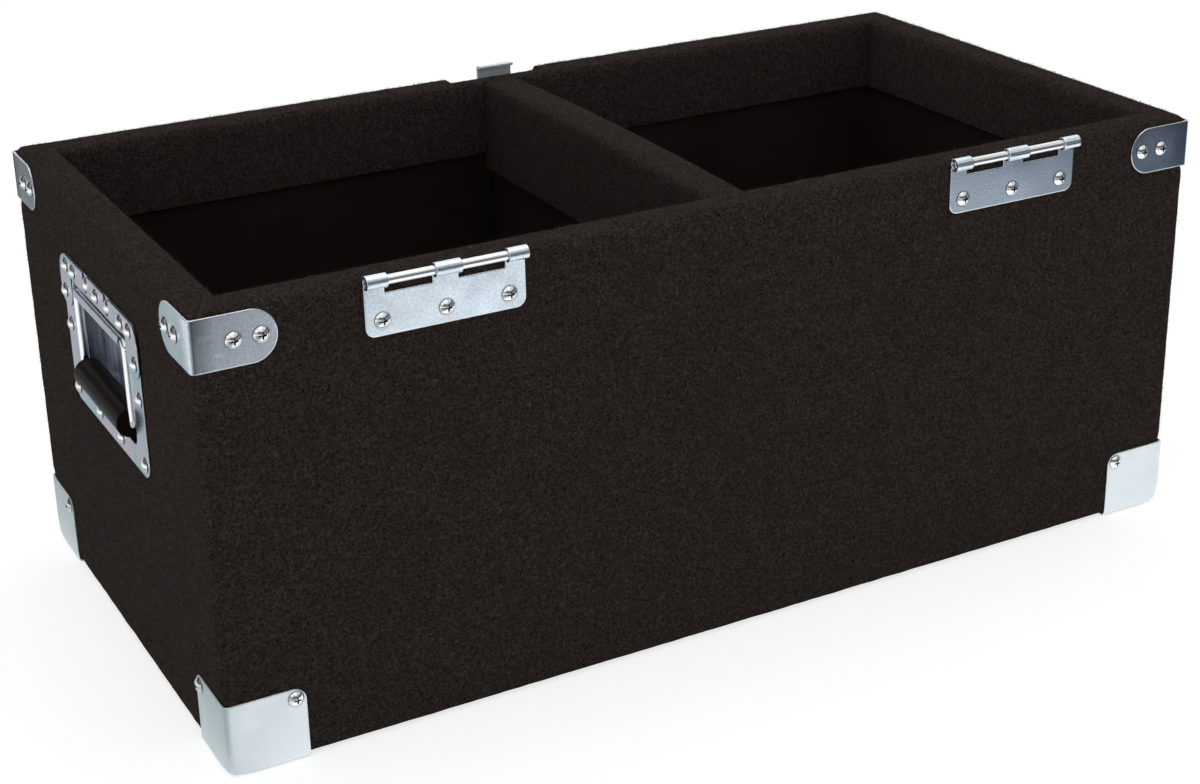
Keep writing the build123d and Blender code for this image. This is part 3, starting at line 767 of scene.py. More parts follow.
def handle_material(metal):
    """Passivated zinc: pink and blue casts on the flange, a light cyan edge that is partly the
    plating's cast and partly a painted highlight, a scratched dish painted darker and bluer inside
    as painted shade, and painted shade where parts meet.
    """
    shader, surface = new_material("iridescent zinc")
    out = group_outputs(shader, "Plating", scale=0.8)
    where = shader.place()
    cast = shader.between(shader.noise(where, 30.0, 1.5), 0.44, 0.60)
    tint = shader.mix(cast, opaque(metal.violet_zinc), opaque(metal.blue_zinc))
    # a light cyan line on the edges: partly the plating's cast, partly a painted highlight
    edge_cast_and_highlight = shader.mix(shader.times(out["Edge"], 0.85), tint, (0.60, 0.86, 0.92, 1.0))
    across = shader.maths("ABSOLUTE", shader.apart(where)["X"], 0.0)
    depth = shader.between(across, HALF_LENGTH - 0.003, HALF_LENGTH - 0.0115)
    streaks = shader.noise(shader.mapped(where, scale=(1.0, 1.0, 0.06)), 260.0)
    streak = shader.between(streaks, 0.4, 0.62)
    # painted shade and reflection: the dish is painted darker and bluer the deeper it lies, over
    # real streaks
    shaded_deep = shader.mix(streak, (0.20, 0.28, 0.40, 1.0), (0.64, 0.66, 0.74, 1.0))
    plated = shader.mix(shader.times(depth, 0.8), edge_cast_and_highlight, shaded_deep)
    scratched = shader.mix(shader.times(out["Scratches"], 0.8), plated, (0.82, 0.84, 0.88, 1.0))
    gloss = shader.between(out["Clouds"], 0.0, 1.0, 0.16, 0.26)
    shader.feed(surface, {
        # painted shade: darkened in creases and round the rivets where parts meet
        "Base Color": shader.mix(
            shader.times(out["Crease Shade"], 0.9), scratched, (0.02, 0.022, 0.03, 1.0)
        ),
        "Roughness": shader.maths("ADD", gloss, shader.times(depth, 0.12)),
        "Metallic": shader.between(depth, 0.0, 1.0, 1.0, 0.55),
        "Normal": shader.bump(out["Waves"], 0.0009, out["Edge Normal"]),
    })


def board_material(settings):
    """Thin paint, uneven over the grain of the wood."""
    shader, surface = new_material("black painted board")
    where = shader.place()
    figure = shader.noise(shader.mapped(where, scale=(6.0, 6.0, 120.0)), 3.0, 4.0)
    patches = shader.between(shader.noise(where, 14.0, 3.0), 0.35, 0.75)
    height = shader.maths("ADD", figure, shader.noise(where, 700.0))
    shader.feed(surface, {
        "Base Color": shader.mix(patches, opaque(settings.paint), opaque(settings.paint, 1.9)),
        "Roughness": shader.between(figure, 0.3, 0.7, 0.55, 0.75),
        "Normal": shader.bump(height, 0.0003, strength=0.3),
        "Specular IOR Level": 0.25,
    })


def rubber_material(settings):
    """Rubber with smears of wear and a faintly warm gloss."""
    shader, surface = new_material("black rubber")
    where = shader.place()
    smears = shader.noise(where, 60.0, 3.0)
    shader.feed(surface, {
        "Base Color": shader.mix(smears, opaque(settings.rubber), opaque(settings.rubber, 1.5)),
        "Roughness": shader.between(smears, 0.3, 0.7, 0.26, 0.34),
        "Normal": shader.bump(shader.noise(where, 1400.0), 0.0002, strength=0.12),
        "IOR": 1.3,
        "Specular IOR Level": 0.1,
        "Specular Tint": (1.0, 0.8, 0.68, 1.0),
    })


def finish(names, material):
    """Gives the objects of some CAD nodes their material."""
    for name in names:
        for slot in frame["nodes"][name].material_slots:
            slot.link = "OBJECT"
            slot.material = bpy.data.materials[material]


def dress(piece, material, slot_name, *nodes):
    """Gives a new piece its material and its body, and hides the CAD nodes that it stands for."""
    piece.data.materials.clear()
    piece.data.materials.append(bpy.data.materials[material])
    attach(piece, "root")
    if nodes:
        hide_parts(*nodes)


# The felt
def near_foot_point(places, reach):
    """From 0 to 1, how near a point is to one of the case's four bottom corners."""
    away = np.abs(places) - [HALF_LENGTH, HALF_WIDTH, 0.0]
    away[:, 2] = places[:, 2]
    return ease(1 - np.linalg.norm(away, axis=1) / reach)


def round_outer_edges(places, radius, corner_radius, reach):
    """Moves the points of a sharp box onto one with rounded edges and rounder bottom corners."""
    radius = (radius + (corner_radius - radius) * near_foot_point(places, reach))[:, None]
    core = np.array([HALF_LENGTH, HALF_WIDTH, (TOP - BOTTOM) / 2]) - radius
    middle = np.array([0.0, 0.0, (TOP + BOTTOM) / 2])
    held = np.clip(places - middle, -core, core)
    away = places - middle - held
    distance = np.linalg.norm(away, axis=1)[:, None]
    moved = ((distance > NOTHING) & (np.abs(away).max(1)[:, None] > radius - HAIR))[:, 0]
    rounded = places.copy()
    rounded[moved] = (middle + held + away * radius / np.maximum(distance, NOTHING))[moved]
    return rounded


def room_beside_steel(places):
    """How far each point of a wall is from the nearest steel on it; below 0 is under the steel."""
    plenty = 1.0
    room = np.full(len(places), plenty)
    for name in STEEL_ON_FELT:
        low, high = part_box(name)
        for axis, half in ((0, HALF_LENGTH), (1, HALF_WIDTH)):
            other = 1 - axis
            across = np.maximum(low[other] - places[:, other], places[:, other] - high[other])
            up = np.maximum(low.z - places[:, 2], places[:, 2] - high.z)
            outside = np.hypot(np.maximum(across, 0), np.maximum(up, 0))
            gap = np.where((across < 0) & (up < 0), np.maximum(across, up), outside)
            for sign, outer in ((-1, -low[axis]), (1, high[axis])):
                if outer > half:
                    on_wall = places[:, axis] * sign > half - FELT
                    room[on_wall] = np.minimum(room, gap)[on_wall]
    return room


def swell(piece, settings):
    """Lets the felt stand proud between the steel, which presses it down."""
    beside_steel, beside_hem, lower_share = 0.008, 0.01, 0.45
    places = coordinates(piece)
    normals = read(piece.data.vertex_normals, "vector")
    past = np.abs(places[:, :2]) - [HALF_LENGTH, HALF_WIDTH]
    inside = past.max(1) < -WALL / 2
    hem = np.where(inside, TOP - settings.band, BOTTOM + FELT)
    share = ease(room_beside_steel(places) / beside_steel) * ease((places[:, 2] - hem) / beside_hem)
    share *= np.where(inside | (normals[:, 2] > 0.7), lower_share, 1.0)
    place_vertices(piece, places + normals * (settings.swell * share)[:, None])


def round_inner_rim(places, radius):
    """Rounds the edge where the rim turns down into the bays."""
    inside = np.array([HALF_LENGTH - WALL, HALF_WIDTH - WALL])
    past = np.abs(places[:, :2]) - inside
    out = past.max(1)
    up = places[:, 2] - (TOP - radius)
    near = (out < radius) & (up > 0)
    away = np.stack([out - radius, up], 1)
    length = np.maximum(np.linalg.norm(away, axis=1), NOTHING)
    turned = away * (radius / length)[:, None]
    rounded = places.copy()
    shift = turned[:, 0] + radius - out
    for axis in (0, 1):
        on_side = near & (past[:, axis] >= out - HAIR / 10)
        rounded[on_side, axis] += np.sign(places[on_side, axis]) * shift[on_side]
    rounded[near, 2] = TOP - radius + turned[near, 1]
    return rounded


def wrap_shell(settings, metal):
    """The felt over the outside, the rim and the top of the bays, as a fine open sheet."""
    piece = add_block(
        "wrap_felt", (-HALF_LENGTH, -HALF_WIDTH, BOTTOM), (HALF_LENGTH, HALF_WIDTH, TOP)
    )
    # the rim is inset from the top face, and its middle is pushed down into the bays, by an inset
    # too, because extruding it makes the faces in another order on each run
    choose(piece, "FACE", lambda middle, normal: normal[:, 2] > 0.9)
    bpy.ops.mesh.inset(thickness=WALL, depth=0)
    bpy.ops.mesh.inset(thickness=0, depth=-settings.band)
    bpy.ops.mesh.delete(type="ONLY_FACE")
    choose(
        piece, "FACE", lambda middle, normal: (normal[:, 2] < -0.9) & (middle[:, 2] < BOTTOM + FELT)
    )
    bpy.ops.mesh.inset(thickness=settings.under_fold, depth=0)
    bpy.ops.mesh.delete(type="ONLY_FACE")
    bpy.ops.object.mode_set(mode="OBJECT")
    # the outer walls get cells just under 4 mm wide, and the band and the rim finer ones
    split_along(piece, 0, 12, 17)
    split_along(piece, 1, 8, 13)
    cut_edges(piece, 79, lambda middle, run: on_outer_wall(middle) & (abs(run[:, 2]) > 0.1))
    cut_edges(
        piece, 15,
        lambda middle, run: (abs(run[:, 2]) > 0.9 * settings.band) & (abs(run[:, 2]) < 0.1),
    )
    cut_edges(
        piece, 9, lambda middle, run: (middle[:, 2] > TOP - HAIR) & crosses_ring(run, WALL)
    )
    cut_edges(
        piece, 2,
        lambda middle, run: (middle[:, 2] < BOTTOM + HAIR) & crosses_ring(run, settings.under_fold),
    )
    places = round_inner_rim(coordinates(piece), settings.rim_radius)
    places = round_outer_edges(places, settings.edge_radius, metal.foot_ball, metal.foot_blend)
    place_vertices(piece, places)
    return piece


def on_outer_wall(places):
    return (abs(places[:, 0]) > HALF_LENGTH - HAIR) | (abs(places[:, 1]) > HALF_WIDTH - HAIR)


def crosses_ring(run, width):
    """Whether an edge runs straight or mitred across a ring of this width."""
    return (abs(run[:, 2]) < HAIR) & (abs(abs(run[:, :2]).max(1) - width) < width * 0.2)


class RECORDCASE_OT_studio(bpy.types.Operator):
    """Sets the camera, the pale floor and the soft light"""

    bl_idname = "recordcase.studio"
    bl_label = "Camera and Studio"

    def execute(self, context):
        settings = context.scene.record_case.studio
        start_clean()
        bpy.ops.object.camera_add(location=settings.camera_place, rotation=settings.camera_turn)
        camera = context.object
        camera.data.lens = settings.lens
        camera.data.shift_x, camera.data.shift_y = settings.shift
        context.scene.camera = camera
        context.scene.view_settings.view_transform = "Standard"
        self.floor(settings)
        self.sky(context, settings)
        self.softbox("overhead softbox", (0.1, 0.1, 2.6), (0, 0, 0.2), 2.4, settings.overhead_power)
        self.softbox("side softbox", (-2.6, -1.6, 1.5), (0, 0, 0.15), 1.6, settings.side_power)
        return {"FINISHED"}

    def floor(self, settings):
        """A pale floor; in the steel it shows as a pool of light that fades away from the case."""
        bpy.ops.mesh.primitive_plane_add(size=settings.floor_size)
        plane = bpy.context.object
        plane.name = "pale_floor"
        shader, surface = new_material("pale floor")
        seen, mirrored = shader.rays()
        lit, tint = self.pool(shader)
        glow = shader.maths("ADD", shader.times(seen, 0.72), shader.times(lit, mirrored))
        shader.feed(surface, {
            "Base Color": shader.mix(mirrored, shader.mix(seen, grey(0.72), grey(0.5)), grey(0.04)),
            "Roughness": 0.9,
            "Specular IOR Level": 0.0,
            "Emission Color": shader.mix(mirrored, grey(1.0), tint),
            "Emission Strength": glow,
        })
        plane.data.materials.append(bpy.data.materials["pale floor"])

    def pool(self, shader):
        """A pool of light: bright by the case, dark at the camera, blue afar, cool on its left."""
        where = shader.place()
        place = shader.apart(where)
        away = shader.vectors("DISTANCE", where, (-0.1, -0.25, 0.0))
        fading = shader.ramp(
            shader.maths("DIVIDE", away, 2.0),
            (0.0, 1.15), (0.27, 1.18), (0.34, 1.24), (0.46, 0.72),
            (0.54, 0.36), (0.61, 0.11), (0.72, 0.03), (1.0, 0.02),
        )
        backdrop = shader.times(
            shader.between(place["X"], 0.3, 0.6, 0.0, 0.95), shader.between(place["Y"], -0.45, -0.1)
        )
        beside = shader.between(place["X"], -0.345, -0.43)
        left = shader.between(place["Y"], 1.1, 0.75, 0.35, 1.0)
        whole = shader.blend(beside, shader.maths("MAXIMUM", fading, backdrop), left)
        stand = shader.vectors("DISTANCE", where, (-0.75, -1.15, 0.0))
        clear = shader.ramp(stand, (0.4, 0.08), (0.68, 0.42), (0.88, 1.0))
        distant = shader.mix(shader.between(away, 0.85, 1.3), grey(1.0), (0.54, 0.75, 1.15, 1.0))
        cool = shader.mix(beside, distant, (0.44, 0.50, 0.50, 1.0))
        far_left = shader.between(place["X"], -0.64, -0.8)
        return shader.times(whole, clear), shader.mix(far_left, cool, grey(1.1))

    def sky(self, context, settings):
        """An even white sky; the steel sees a white backdrop, dark corners and a bright ceiling."""
        world = bpy.data.worlds.new("white studio")
        world.use_nodes = True
        context.scene.world = world
        shader = Shader(world.node_tree)
        seen, mirrored = shader.rays()
        where = shader.add("ShaderNodeTexCoord").outputs["Generated"]
        place = shader.apart(where)
        room = shader.ramp(
            place["Z"], (0.0, 0.4), (0.1, 0.35), (0.2, 0.1), (0.42, 0.1), (0.58, 0.8), (1.0, 1.05)
        )
        patches = shader.between(shader.noise(where, 2.3, 1.0), 0.4, 0.6, 0.7, 1.15)
        corner = shader.ramp(
            place["Z"], (0.0, 1.05), (0.08, 0.8), (0.18, 0.08), (0.7, 0.08), (0.85, 1.05)
        )
        wall = shader.blend(shader.between(place["X"], -0.3, 0.1), corner, 1.05)
        backdrop = shader.between(place["Y"], -0.1, 0.3)
        surroundings = shader.blend(backdrop, shader.times(room, patches), wall)
        light = settings.sky_light
        even = shader.between(place["Z"], 0.0, 0.8, light * 1.2, light * 0.6)
        strength = shader.blend(seen, shader.blend(mirrored, even, surroundings), 1.0)
        background = world.node_tree.nodes["Background"]
        shader.feed(background, {"Color": grey(1.0), "Strength": strength})

    def softbox(self, name, place, target, size, power):
        bpy.ops.object.light_add(type="AREA", location=place)
        lamp = bpy.context.object
        lamp.name = name
        lamp.rotation_euler = (Vector(target) - Vector(place)).to_track_quat("-Z", "Y").to_euler()
        lamp.data.size = size
        lamp.data.energy = power


class RECORDCASE_OT_wrap_felt(bpy.types.Operator):
    """Covers the outside, the rim and the top of the bays with felt"""

    bl_idname = "recordcase.wrap_felt"
    bl_label = "Wrap Felt"

    def execute(self, context):
        settings = context.scene.record_case.felt
        piece = wrap_shell(settings, context.scene.record_case.metal)
        swell(piece, settings)
        self.close_back(piece, settings)
        self.pockets(piece)
        roughen(piece, settings)
        smooth(piece, 60)
        dress(piece, "brown black felt", "carpet", "wrap_carpet")
        return {"FINISHED"}

    def close_back(self, piece, settings):
        """Gives the sheet its thickness: a plain back, one row of faces against each board face."""
        halves = np.array([HALF_LENGTH, HALF_WIDTH])
        under = (halves - FELT) / (halves - settings.under_fold)
        over = (halves - WALL + FELT) / (halves - FELT)
        choose(
            piece, "EDGE",
            lambda middle, run: self.free_edges(piece) & (middle[:, 2] < BOTTOM + 2 * FELT),
        )
        self.raise_edges(FELT)
        self.move_edges(under)
        self.raise_edges(BOARD_TOP - BOTTOM - FELT)
        self.move_edges(over)
        self.raise_edges(TOP - settings.band - BOARD_TOP)
        bpy.ops.mesh.select_all(action="DESELECT")
        bpy.ops.mesh.select_mode(type="EDGE")
        bpy.ops.mesh.select_non_manifold()
        bpy.ops.mesh.bridge_edge_loops()
        face_outwards()

    def raise_edges(self, height):
        """Draws a wall of faces up from the chosen edges."""
        bpy.ops.mesh.extrude_edges_move(TRANSFORM_OT_translate={"value": (0, 0, height)})

    def move_edges(self, scale):
        """Draws a level ring of faces from the chosen edges to a scaled outline."""
        bpy.ops.mesh.extrude_edges_move()
        bpy.ops.transform.resize(value=(*scale, 1), center_override=(0, 0, 0))

    def free_edges(self, piece):
        """Which edges have a face on one side only."""
        edges = np.empty(len(piece.data.loops), dtype=np.int32)
        piece.data.loops.foreach_get("edge_index", edges)
        return np.bincount(edges, minlength=len(piece.data.edges)) == 1

    def pockets(self, piece):
        """Cuts the holes for the recessed handles and the notch for the latch."""
        dishes = (
            ("left_handle_dish", 0, -1), ("right_handle_dish", 0, 1), ("latch_dish", 1, 1)
        )
        cutters = []
        for node, axis, side in dishes:
            face = (HALF_LENGTH, HALF_WIDTH)[axis]
            places = coordinates(frame["nodes"][node])
            behind = places[places[:, axis] * side < face - FELT / 2]
            ends = [behind.min(0) - FELT / 5, behind.max(0) + FELT / 5]
            ends[side > 0][axis] = side * (face + 3 * FELT)
            if node == "latch_dish":
                ends[1][2] = TOP + 3 * FELT
            cutters.append(add_block("pocket", *ends))
        cut_away(piece, cutters)


class RECORDCASE_OT_divider_felt(bpy.types.Operator):
    """Folds felt over the top of the divider"""

    bl_idname = "recordcase.divider_felt"
    bl_label = "Divider Felt"
    crown_depth = 0.03
    gap = 0.0001

    def execute(self, context):
        settings = context.scene.record_case.felt
        board_low, board_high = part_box("divider_board")
        piece = add_block("divider_felt", DIVIDER_LOW, DIVIDER_HIGH)
        split_along(piece, 1, 8, 14)
        split_along(piece, 2, 24)
        split_along(piece, 0, 9)
        places = self.round_top(coordinates(piece), settings.rim_radius * 1.2)
        along = np.clip(abs(places[:, 1]) / (HALF_WIDTH - WALL), 0, 1)
        near_top = ease((places[:, 2] - (TOP - self.crown_depth)) / self.crown_depth)
        places[:, 2] += settings.divider_crown * (1 - along**2) * near_top
        place_vertices(piece, places)
        roughen(piece, settings)
        low = Vector((board_low.x - self.gap, -HALF_WIDTH, DIVIDER_LOW.z - FELT))
        high = Vector((board_high.x + self.gap, HALF_WIDTH, board_high.z + self.gap))
        cut_away(piece, [add_block("board space", low, high)])
        smooth(piece, 60)
        dress(piece, "divider felt", "carpet", "divider_carpet")
        return {"FINISHED"}

    def round_top(self, places, radius):
        """Rounds the two long edges of the fold."""
        across, up = places[:, 0], places[:, 2]
        inset = DIVIDER_HIGH.x - radius
        held = np.stack([np.clip(across, -inset, inset), np.minimum(up, TOP - radius)], 1)
        away = places[:, [0, 2]] - held
        distance = np.linalg.norm(away, axis=1)[:, None]
        edge = distance[:, 0] > NOTHING
        places[np.ix_(edge, [0, 2])] = (held + away * radius / np.maximum(distance, NOTHING))[edge]
        return places


class RECORDCASE_OT_base_felt(bpy.types.Operator):
    """Lays felt under the floor"""

    bl_idname = "recordcase.base_felt"
    bl_label = "Base Felt"

    def execute(self, context):
        settings = context.scene.record_case.felt
        inset = Vector((settings.under_fold, settings.under_fold, 0))
        low = Vector((-HALF_LENGTH, -HALF_WIDTH, BASE_LOW.z)) + inset
        high = Vector((HALF_LENGTH, HALF_WIDTH, BASE_HIGH.z)) - inset
        piece = add_block("base_felt", low, high)
        split_along(piece, 0, 12, 10)
        split_along(piece, 1, 6, 10)
        roughen(piece, settings)
        smooth(piece, 60)
        dress(piece, "brown black felt", "carpet", "base_carpet")
        return {"FINISHED"}


class RECORDCASE_OT_felt_nap(bpy.types.Operator):
    """Grows short fibres and stray curls out of the felt, thicker on the rim than on the walls"""

    bl_idname = "recordcase.felt_nap"
    bl_label = "Felt Nap"

    def execute(self, context):
        settings = context.scene.record_case.felt
        shapes = {"fibre": self.fibre(settings), "curl": self.curl(settings)}
        for step, (name, shape, share, test) in enumerate(self.regions(settings)):
            on_divider = name.startswith("divider")
            felt = bpy.data.objects["divider_felt" if on_divider else "wrap_felt"]
            nap = self.grow(name, felt, shapes[shape], test, share, settings.seed + step)
            dress(nap, "divider nap" if on_divider else "felt nap", "carpet")
        for shape in shapes.values():
            bpy.data.objects.remove(shape)
        return {"FINISHED"}

    def regions(self, settings):
        """Each piece of nap: its name, its shape, how many on a square centimetre, and a test for
        the places and normals of the faces where it grows."""
        line = TOP - settings.edge_radius
        low = BOTTOM + 2 * FELT
        slack = 0.001

        def on_wall(axis, sign):
            outer = (HALF_LENGTH, HALF_WIDTH)[axis] - FELT
            return lambda p, n: (
                (n[:, axis] * sign > 0.6) & (p[:, axis] * sign > outer)
                & (p[:, 2] < line) & (p[:, 2] > low)
            )

        walls = {"front": (1, -1), "back": (1, 1), "left": (0, -1), "right": (0, 1)}
        for side, (axis, sign) in walls.items():
            yield f"{side}_nap", "fibre", settings.wall_fibres, on_wall(axis, sign)
        yield "stray_curls", "curl", settings.stray_curls, (
            lambda p, n: np.any([on_wall(*wall)(p, n) for wall in walls.values()], axis=0)
        )
        hook_low, hook_high = (np.array(corner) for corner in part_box("latch_hook"))

        def on_rim(p, n):
            beside_hook = np.maximum(hook_low - p, p - hook_high)[:, :2].max(1)
            return (
                (n[:, 2] > 0.1) & (p[:, 2] > BOARD_TOP - settings.rim_radius)
                & (beside_hook > settings.curl_length)
            )

        yield "rim_nap", "fibre", settings.rim_fibres, on_rim
        yield "rim_curls", "curl", settings.stray_curls * 4, on_rim
        yield "band_nap", "fibre", settings.wall_fibres, (
            lambda p, n: (abs(n[:, 2]) < 0.3) & (abs(p[:, 0]) < HALF_LENGTH - WALL + slack)
            & (abs(p[:, 1]) < HALF_WIDTH - WALL + slack) & (p[:, 2] < line)
            & (n[:, :2] * p[:, :2] < 0).any(1)
        )
        yield "divider_nap", "fibre", settings.wall_fibres * 1.4, (
            lambda p, n: (abs(p[:, 0]) > DIVIDER_HIGH.x - slack) | (n[:, 2] > 0.3)
        )

    def fibre(self, settings):
        """A short fibre: a thin three-sided spike that starts in the felt and leans over."""
        length = settings.fibre_length
        piece = self.stalk("fibre", settings.fibre_radius, 0, length, length * 0.38)
        return self.lean(piece, 1.1)

    def curl(self, settings):
        """A stray fibre: a three-sided stalk that starts in the felt and bends over to its tip."""
        length = settings.curl_length
        piece = self.stalk("curl", settings.fibre_radius, 0.6, length / 2, length * 0.15)
        choose(piece, "FACE", lambda middle, normal: normal[:, 2] > 0.9)
        tip = (length * 0.45, 0, length * 0.12)
        bpy.ops.mesh.extrude_region_move(TRANSFORM_OT_translate={"value": tip})
        bpy.ops.mesh.merge(type="CENTER")
        bpy.ops.object.mode_set(mode="OBJECT")
        return self.lean(piece, 0.7)

    def stalk(self, name, radius, taper, length, rise):
        """A three-sided stalk, partly above the felt, that narrows to a share of its radius."""
        start_clean()
        bpy.ops.mesh.primitive_cone_add(
            vertices=3, radius1=radius, radius2=radius * taper, depth=length, location=(0, 0, rise)
        )
        return settle(bpy.context.object, name)

    def lean(self, piece, slope):
        """Slants what is above the felt."""
        places = coordinates(piece)
        places[:, 0] += np.clip(places[:, 2], 0, None) * slope
        place_vertices(piece, places)
        return piece

    def grow(self, name, felt, shape, test, share, seed):
        """Grows so many of a shape on each square centimetre of a felt that passes a test."""
        carrier = felt.copy()
        carrier.data = felt.data.copy()
        carrier.parent = None
        for key in list(carrier.keys()):
            del carrier[key]
        carrier.name = name
        bpy.context.scene.collection.objects.link(carrier)
        faces = carrier.data.polygons
        growing = test(read(faces, "center"), read(faces, "normal"))
        room = room_beside_steel(coordinates(carrier))
        for key, domain, values in (("growing", "FACE", growing), ("room", "POINT", room)):
            attribute = carrier.data.attributes.new(key, "FLOAT", domain)
            attribute.data.foreach_set("value", values.astype(np.float32))
        tree = self.scatter_tree(shape, share * SQUARE_CENTIMETRES, seed)
        apply_modifier(carrier, "NODES", node_group=tree)
        bpy.data.node_groups.remove(tree)
        return carrier

    def scatter_tree(self, shape, density, seed):
        """Scatters a shape clear of the steel; each one is turned, sized and shaded by chance."""
        tree = bpy.data.node_groups.new("scatter fibres", "GeometryNodeTree")
        for way in ("INPUT", "OUTPUT"):
            tree.interface.new_socket("Geometry", in_out=way, socket_type="NodeSocketGeometry")
        nodes = Nodes(tree)

        def attribute(name):
            kind = "GeometryNodeInputNamedAttribute"
            return nodes.add(kind, {"Name": name}, data_type="FLOAT").outputs["Attribute"]

        def chance(low, high, step):
            inputs = {2: low, 3: high, "Seed": seed + step}
            return nodes.add("FunctionNodeRandomValue", inputs, data_type="FLOAT").outputs[1]

        scatter = nodes.add("GeometryNodeDistributePointsOnFaces", {
            "Mesh": nodes.add("NodeGroupInput").outputs[0],
            "Selection": attribute("growing"),
            "Density": density,
            "Seed": seed,
        })
        tucked = -0.0004
        clear = nodes.add(
            "FunctionNodeCompare", {0: attribute("room"), 1: tucked}, operation="GREATER_THAN"
        )
        turn = nodes.add(
            "FunctionNodeRandomValue",
            {0: (-0.5, -0.5, -math.pi), 1: (0.5, 0.5, math.pi), "Seed": seed + 11},
            data_type="FLOAT_VECTOR",
        )
        angles = nodes.add("FunctionNodeEulerToRotation", {"Euler": turn.outputs[0]})
        upright = nodes.add(
            "FunctionNodeRotateRotation",
            {"Rotation": scatter.outputs["Rotation"], "Rotate By": angles.outputs[0]},
            rotation_space="LOCAL",
        )
        planted = nodes.add("GeometryNodeInstanceOnPoints", {
            "Points": scatter.outputs["Points"],
            "Selection": clear.outputs[0],
            "Instance": nodes.add("GeometryNodeObjectInfo", {"Object": shape}).outputs["Geometry"],
            "Rotation": upright.outputs[0],
            "Scale": chance(0.45, 1.3, 23),
        })
        marked = nodes.add(
            "GeometryNodeStoreNamedAttribute",
            {"Geometry": planted.outputs[0], "Name": "shade", "Value": chance(0.0, 1.0, 37)},
            data_type="FLOAT", domain="INSTANCE",
        )
        real = nodes.add("GeometryNodeRealizeInstances", {"Geometry": marked.outputs[0]})
        nodes.add("NodeGroupOutput", {0: real.outputs[0]})
        return tree


class RECORDCASE_OT_materials(bpy.types.Operator):
    """Makes the felt, steel, paint and rubber that the pieces share"""

    bl_idname = "recordcase.materials"
    bl_label = "Materials"

    def execute(self, context):
        settings = context.scene.record_case
        metal = settings.metal
        plating_group()
        felt_group()
        felt_material("brown black felt", settings.felt, 1.0)
        # painted shade: the divider's felt is the same felt, darkened to stand for the shade inside
        # the bays
        felt_material("divider felt", settings.felt, 0.6)
        nap_material("felt nap", settings.felt, 1.0)
        # painted shade: the divider's nap is the same nap, darkened to stand for the shade inside
        # the bays
        nap_material("divider nap", settings.felt, 0.6)
        steel_material(
            "brace zinc", metal.brace_zinc, metal.leaf_zinc, roughness=0.21, waves=0.0006,
            drawn=0.0012,
        )
        steel_material(
            "hinge leaf zinc", metal.leaf_zinc, metal.brace_zinc, roughness=0.23, tint_share=0.4
        )
        steel_material(
            "pale zinc", metal.pale_zinc, metal.leaf_zinc, roughness=0.42, tint_share=0.1,
            waves=0.0004, dimples=0.0, wear=0.0, speckle=0.1,
        )
        steel_material(
            "satin zinc", metal.leaf_zinc, metal.pale_zinc, roughness=0.38, tint_share=0.4,
            waves=0.0004, dimples=0.00002, metallic=0.6,
        )
        fastener_material(metal)
        wire_material(metal)
        handle_material(metal)
        board_material(settings.board)
        rubber_material(settings.board)
        return {"FINISHED"}


class RECORDCASE_OT_boards(bpy.types.Operator):
    """Paints the boards that show inside the bays"""

    bl_idname = "recordcase.boards"
    bl_label = "Boards"

    def execute(self, context):
        finish(BOARDS, "black painted board")
        return {"FINISHED"}


class RECORDCASE_OT_steelwork(bpy.types.Operator):
    """Plates the braces, hinge halves, handles and latch"""

    bl_idname = "recordcase.steelwork"
    bl_label = "Steelwork"

    def execute(self, context):
        finish(BRACES, "brace zinc")
        finish(HINGE_LEAVES, "hinge leaf zinc")
        finish(LATCH_PLATES, "satin zinc")
        finish(DISHES, "iridescent zinc")
        finish(WIRES, "bright wire")
        return {"FINISHED"}


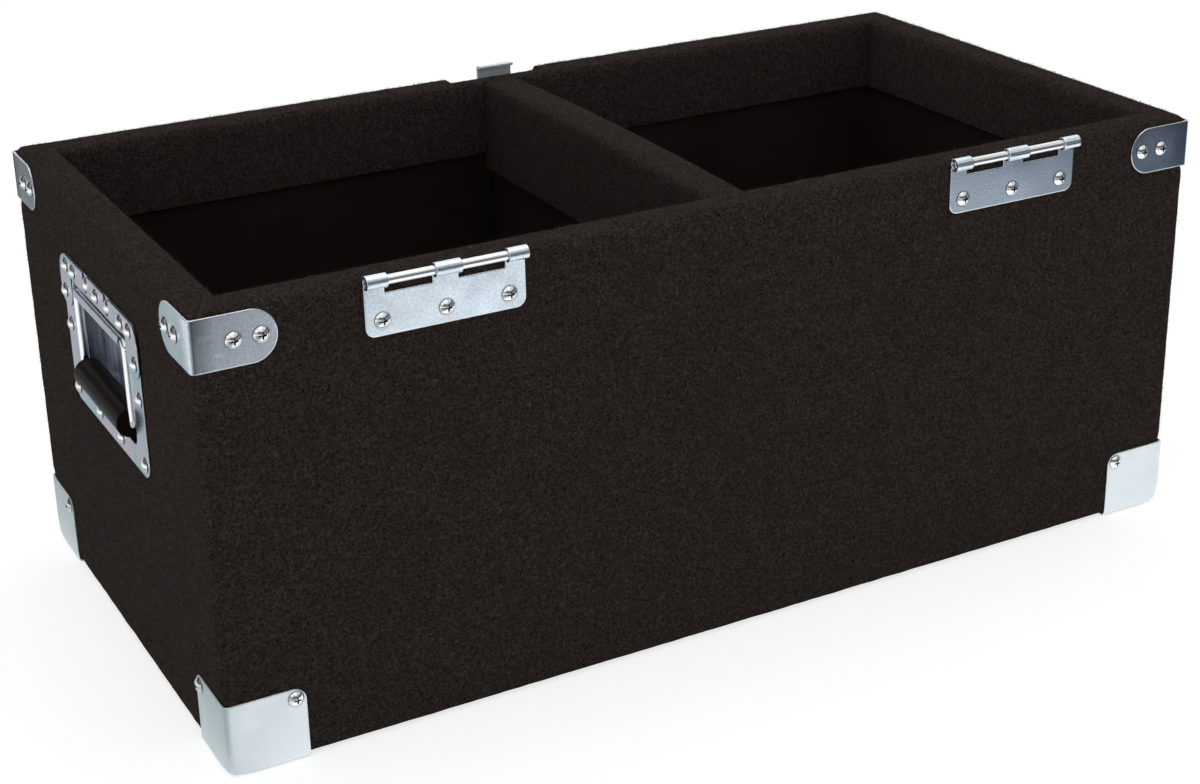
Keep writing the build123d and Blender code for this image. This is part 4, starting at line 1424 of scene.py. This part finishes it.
class RECORDCASE_OT_foot_corners(bpy.types.Operator):
    """Presses the four foot corners, whose bends run into a round point"""

    bl_idname = "recordcase.foot_corners"
    bl_label = "Foot Corners"

    def execute(self, context):
        metal = context.scene.record_case.metal
        first = self.pressed_corner("foot_corner_front_left", metal)
        for name in FOOT_CORNERS:
            piece = first.copy()
            piece.data = first.data.copy()
            context.scene.collection.objects.link(piece)
            flips = (1 if "left" in name else -1, 1 if "front" in name else -1, 1)
            place_vertices(piece, coordinates(piece) * flips)
            pick(piece)
            bpy.ops.object.mode_set(mode="EDIT")
            face_outwards()
            piece.name = piece.data.name = name.replace("foot_corner", "pressed_foot")
            smooth(piece, 40)
            dress(piece, "pale zinc", "plated_steel", name)
        bpy.data.objects.remove(first)
        return {"FINISHED"}

    def pressed_corner(self, node, metal):
        """The front left foot: three leaves with rounded bends, point and free corners."""
        low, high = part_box(node)
        piece = add_block("pressed_foot", low, high)
        choose(piece, "FACE", lambda middle, normal: normal.max(1) > 0.9)
        bpy.ops.mesh.delete(type="FACE")
        bpy.ops.object.mode_set(mode="OBJECT")
        for axis in range(3):
            split_along(piece, axis, 44)
        low = np.array(low)
        local = coordinates(piece) - low
        self.round_free_corners(local, np.array(high) - low, metal.foot_leaf_radius)
        share = ease(1 - np.linalg.norm(local, axis=1) / metal.foot_blend)
        radius = (metal.foot_bend + (metal.foot_ball - metal.foot_bend) * share)[:, None]
        held = np.maximum(local, radius)
        away = local - held
        distance = np.maximum(np.linalg.norm(away, axis=1), NOTHING)[:, None]
        place_vertices(piece, low + held + away * radius / distance)
        gauge = metal.foot_gauge
        apply_modifier(piece, "SOLIDIFY", thickness=gauge, offset=-1.0, use_even_offset=True)
        apply_modifier(
            piece, "BEVEL", width=gauge / 4, segments=2, limit_method="ANGLE",
            angle_limit=math.radians(60),
        )
        return piece

    def round_free_corners(self, local, size, radius):
        """Draws the square grid of each leaf's free corner into a quarter circle."""
        for first, second, flat in ((0, 2, 1), (1, 2, 0), (0, 1, 2)):
            u = (local[:, first] - size[first] + radius) / radius
            v = (local[:, second] - size[second] + radius) / radius
            corner = (u > 0) & (v > 0) & (local[:, flat] < HAIR)
            u, v = u[corner], v[corner]
            local[corner, first] = size[first] - radius + radius * u * np.sqrt(1 - v * v / 2)
            local[corner, second] = size[second] - radius + radius * v * np.sqrt(1 - u * u / 2)


class RECORDCASE_OT_fasteners(bpy.types.Operator):
    """Brightens the screws, rivets, clip and pin"""

    bl_idname = "recordcase.fasteners"
    bl_label = "Screws and Rivets"

    def execute(self, context):
        finish(FASTENERS, "bright fasteners")
        return {"FINISHED"}


class RECORDCASE_OT_grips(bpy.types.Operator):
    """Finishes the rubber grips on the handles"""

    bl_idname = "recordcase.grips"
    bl_label = "Grips"

    def execute(self, context):
        finish(GRIPS, "black rubber")
        return {"FINISHED"}


OPERATORS = (
    RECORDCASE_OT_studio,
    RECORDCASE_OT_materials,
    RECORDCASE_OT_wrap_felt,
    RECORDCASE_OT_divider_felt,
    RECORDCASE_OT_base_felt,
    RECORDCASE_OT_felt_nap,
    RECORDCASE_OT_boards,
    RECORDCASE_OT_steelwork,
    RECORDCASE_OT_foot_corners,
    RECORDCASE_OT_fasteners,
    RECORDCASE_OT_grips,
)


class RECORDCASE_PT_panel(bpy.types.Panel):
    """Lists the steps and the settings of the case"""

    bl_label = "Record Case"
    bl_idname = "RECORDCASE_PT_panel"
    bl_space_type = "VIEW_3D"
    bl_region_type = "UI"
    bl_category = "Record Case"

    def draw(self, context):
        for operator in OPERATORS:
            self.layout.operator(operator.bl_idname)
        settings = context.scene.record_case
        for part in (settings.studio, settings.felt, settings.metal, settings.board):
            box = self.layout.box()
            for name in part.bl_rna.properties.keys():
                if name not in ("rna_type", "name"):
                    box.prop(part, name)


CLASSES = (
    StudioSettings, FeltSettings, MetalSettings, BoardSettings, RecordCaseSettings,
    *OPERATORS, RECORDCASE_PT_panel,
)


def register():
    for made in CLASSES:
        bpy.utils.register_class(made)
    bpy.types.Scene.record_case = PointerProperty(type=RecordCaseSettings)


def unregister():
    del bpy.types.Scene.record_case
    for made in reversed(CLASSES):
        bpy.utils.unregister_class(made)


def main():
    register()
    for operator in OPERATORS:
        group, name = operator.bl_idname.split(".")
        getattr(getattr(bpy.ops, group), name)()
    start_clean()


if __name__ == "__main__":
    main()
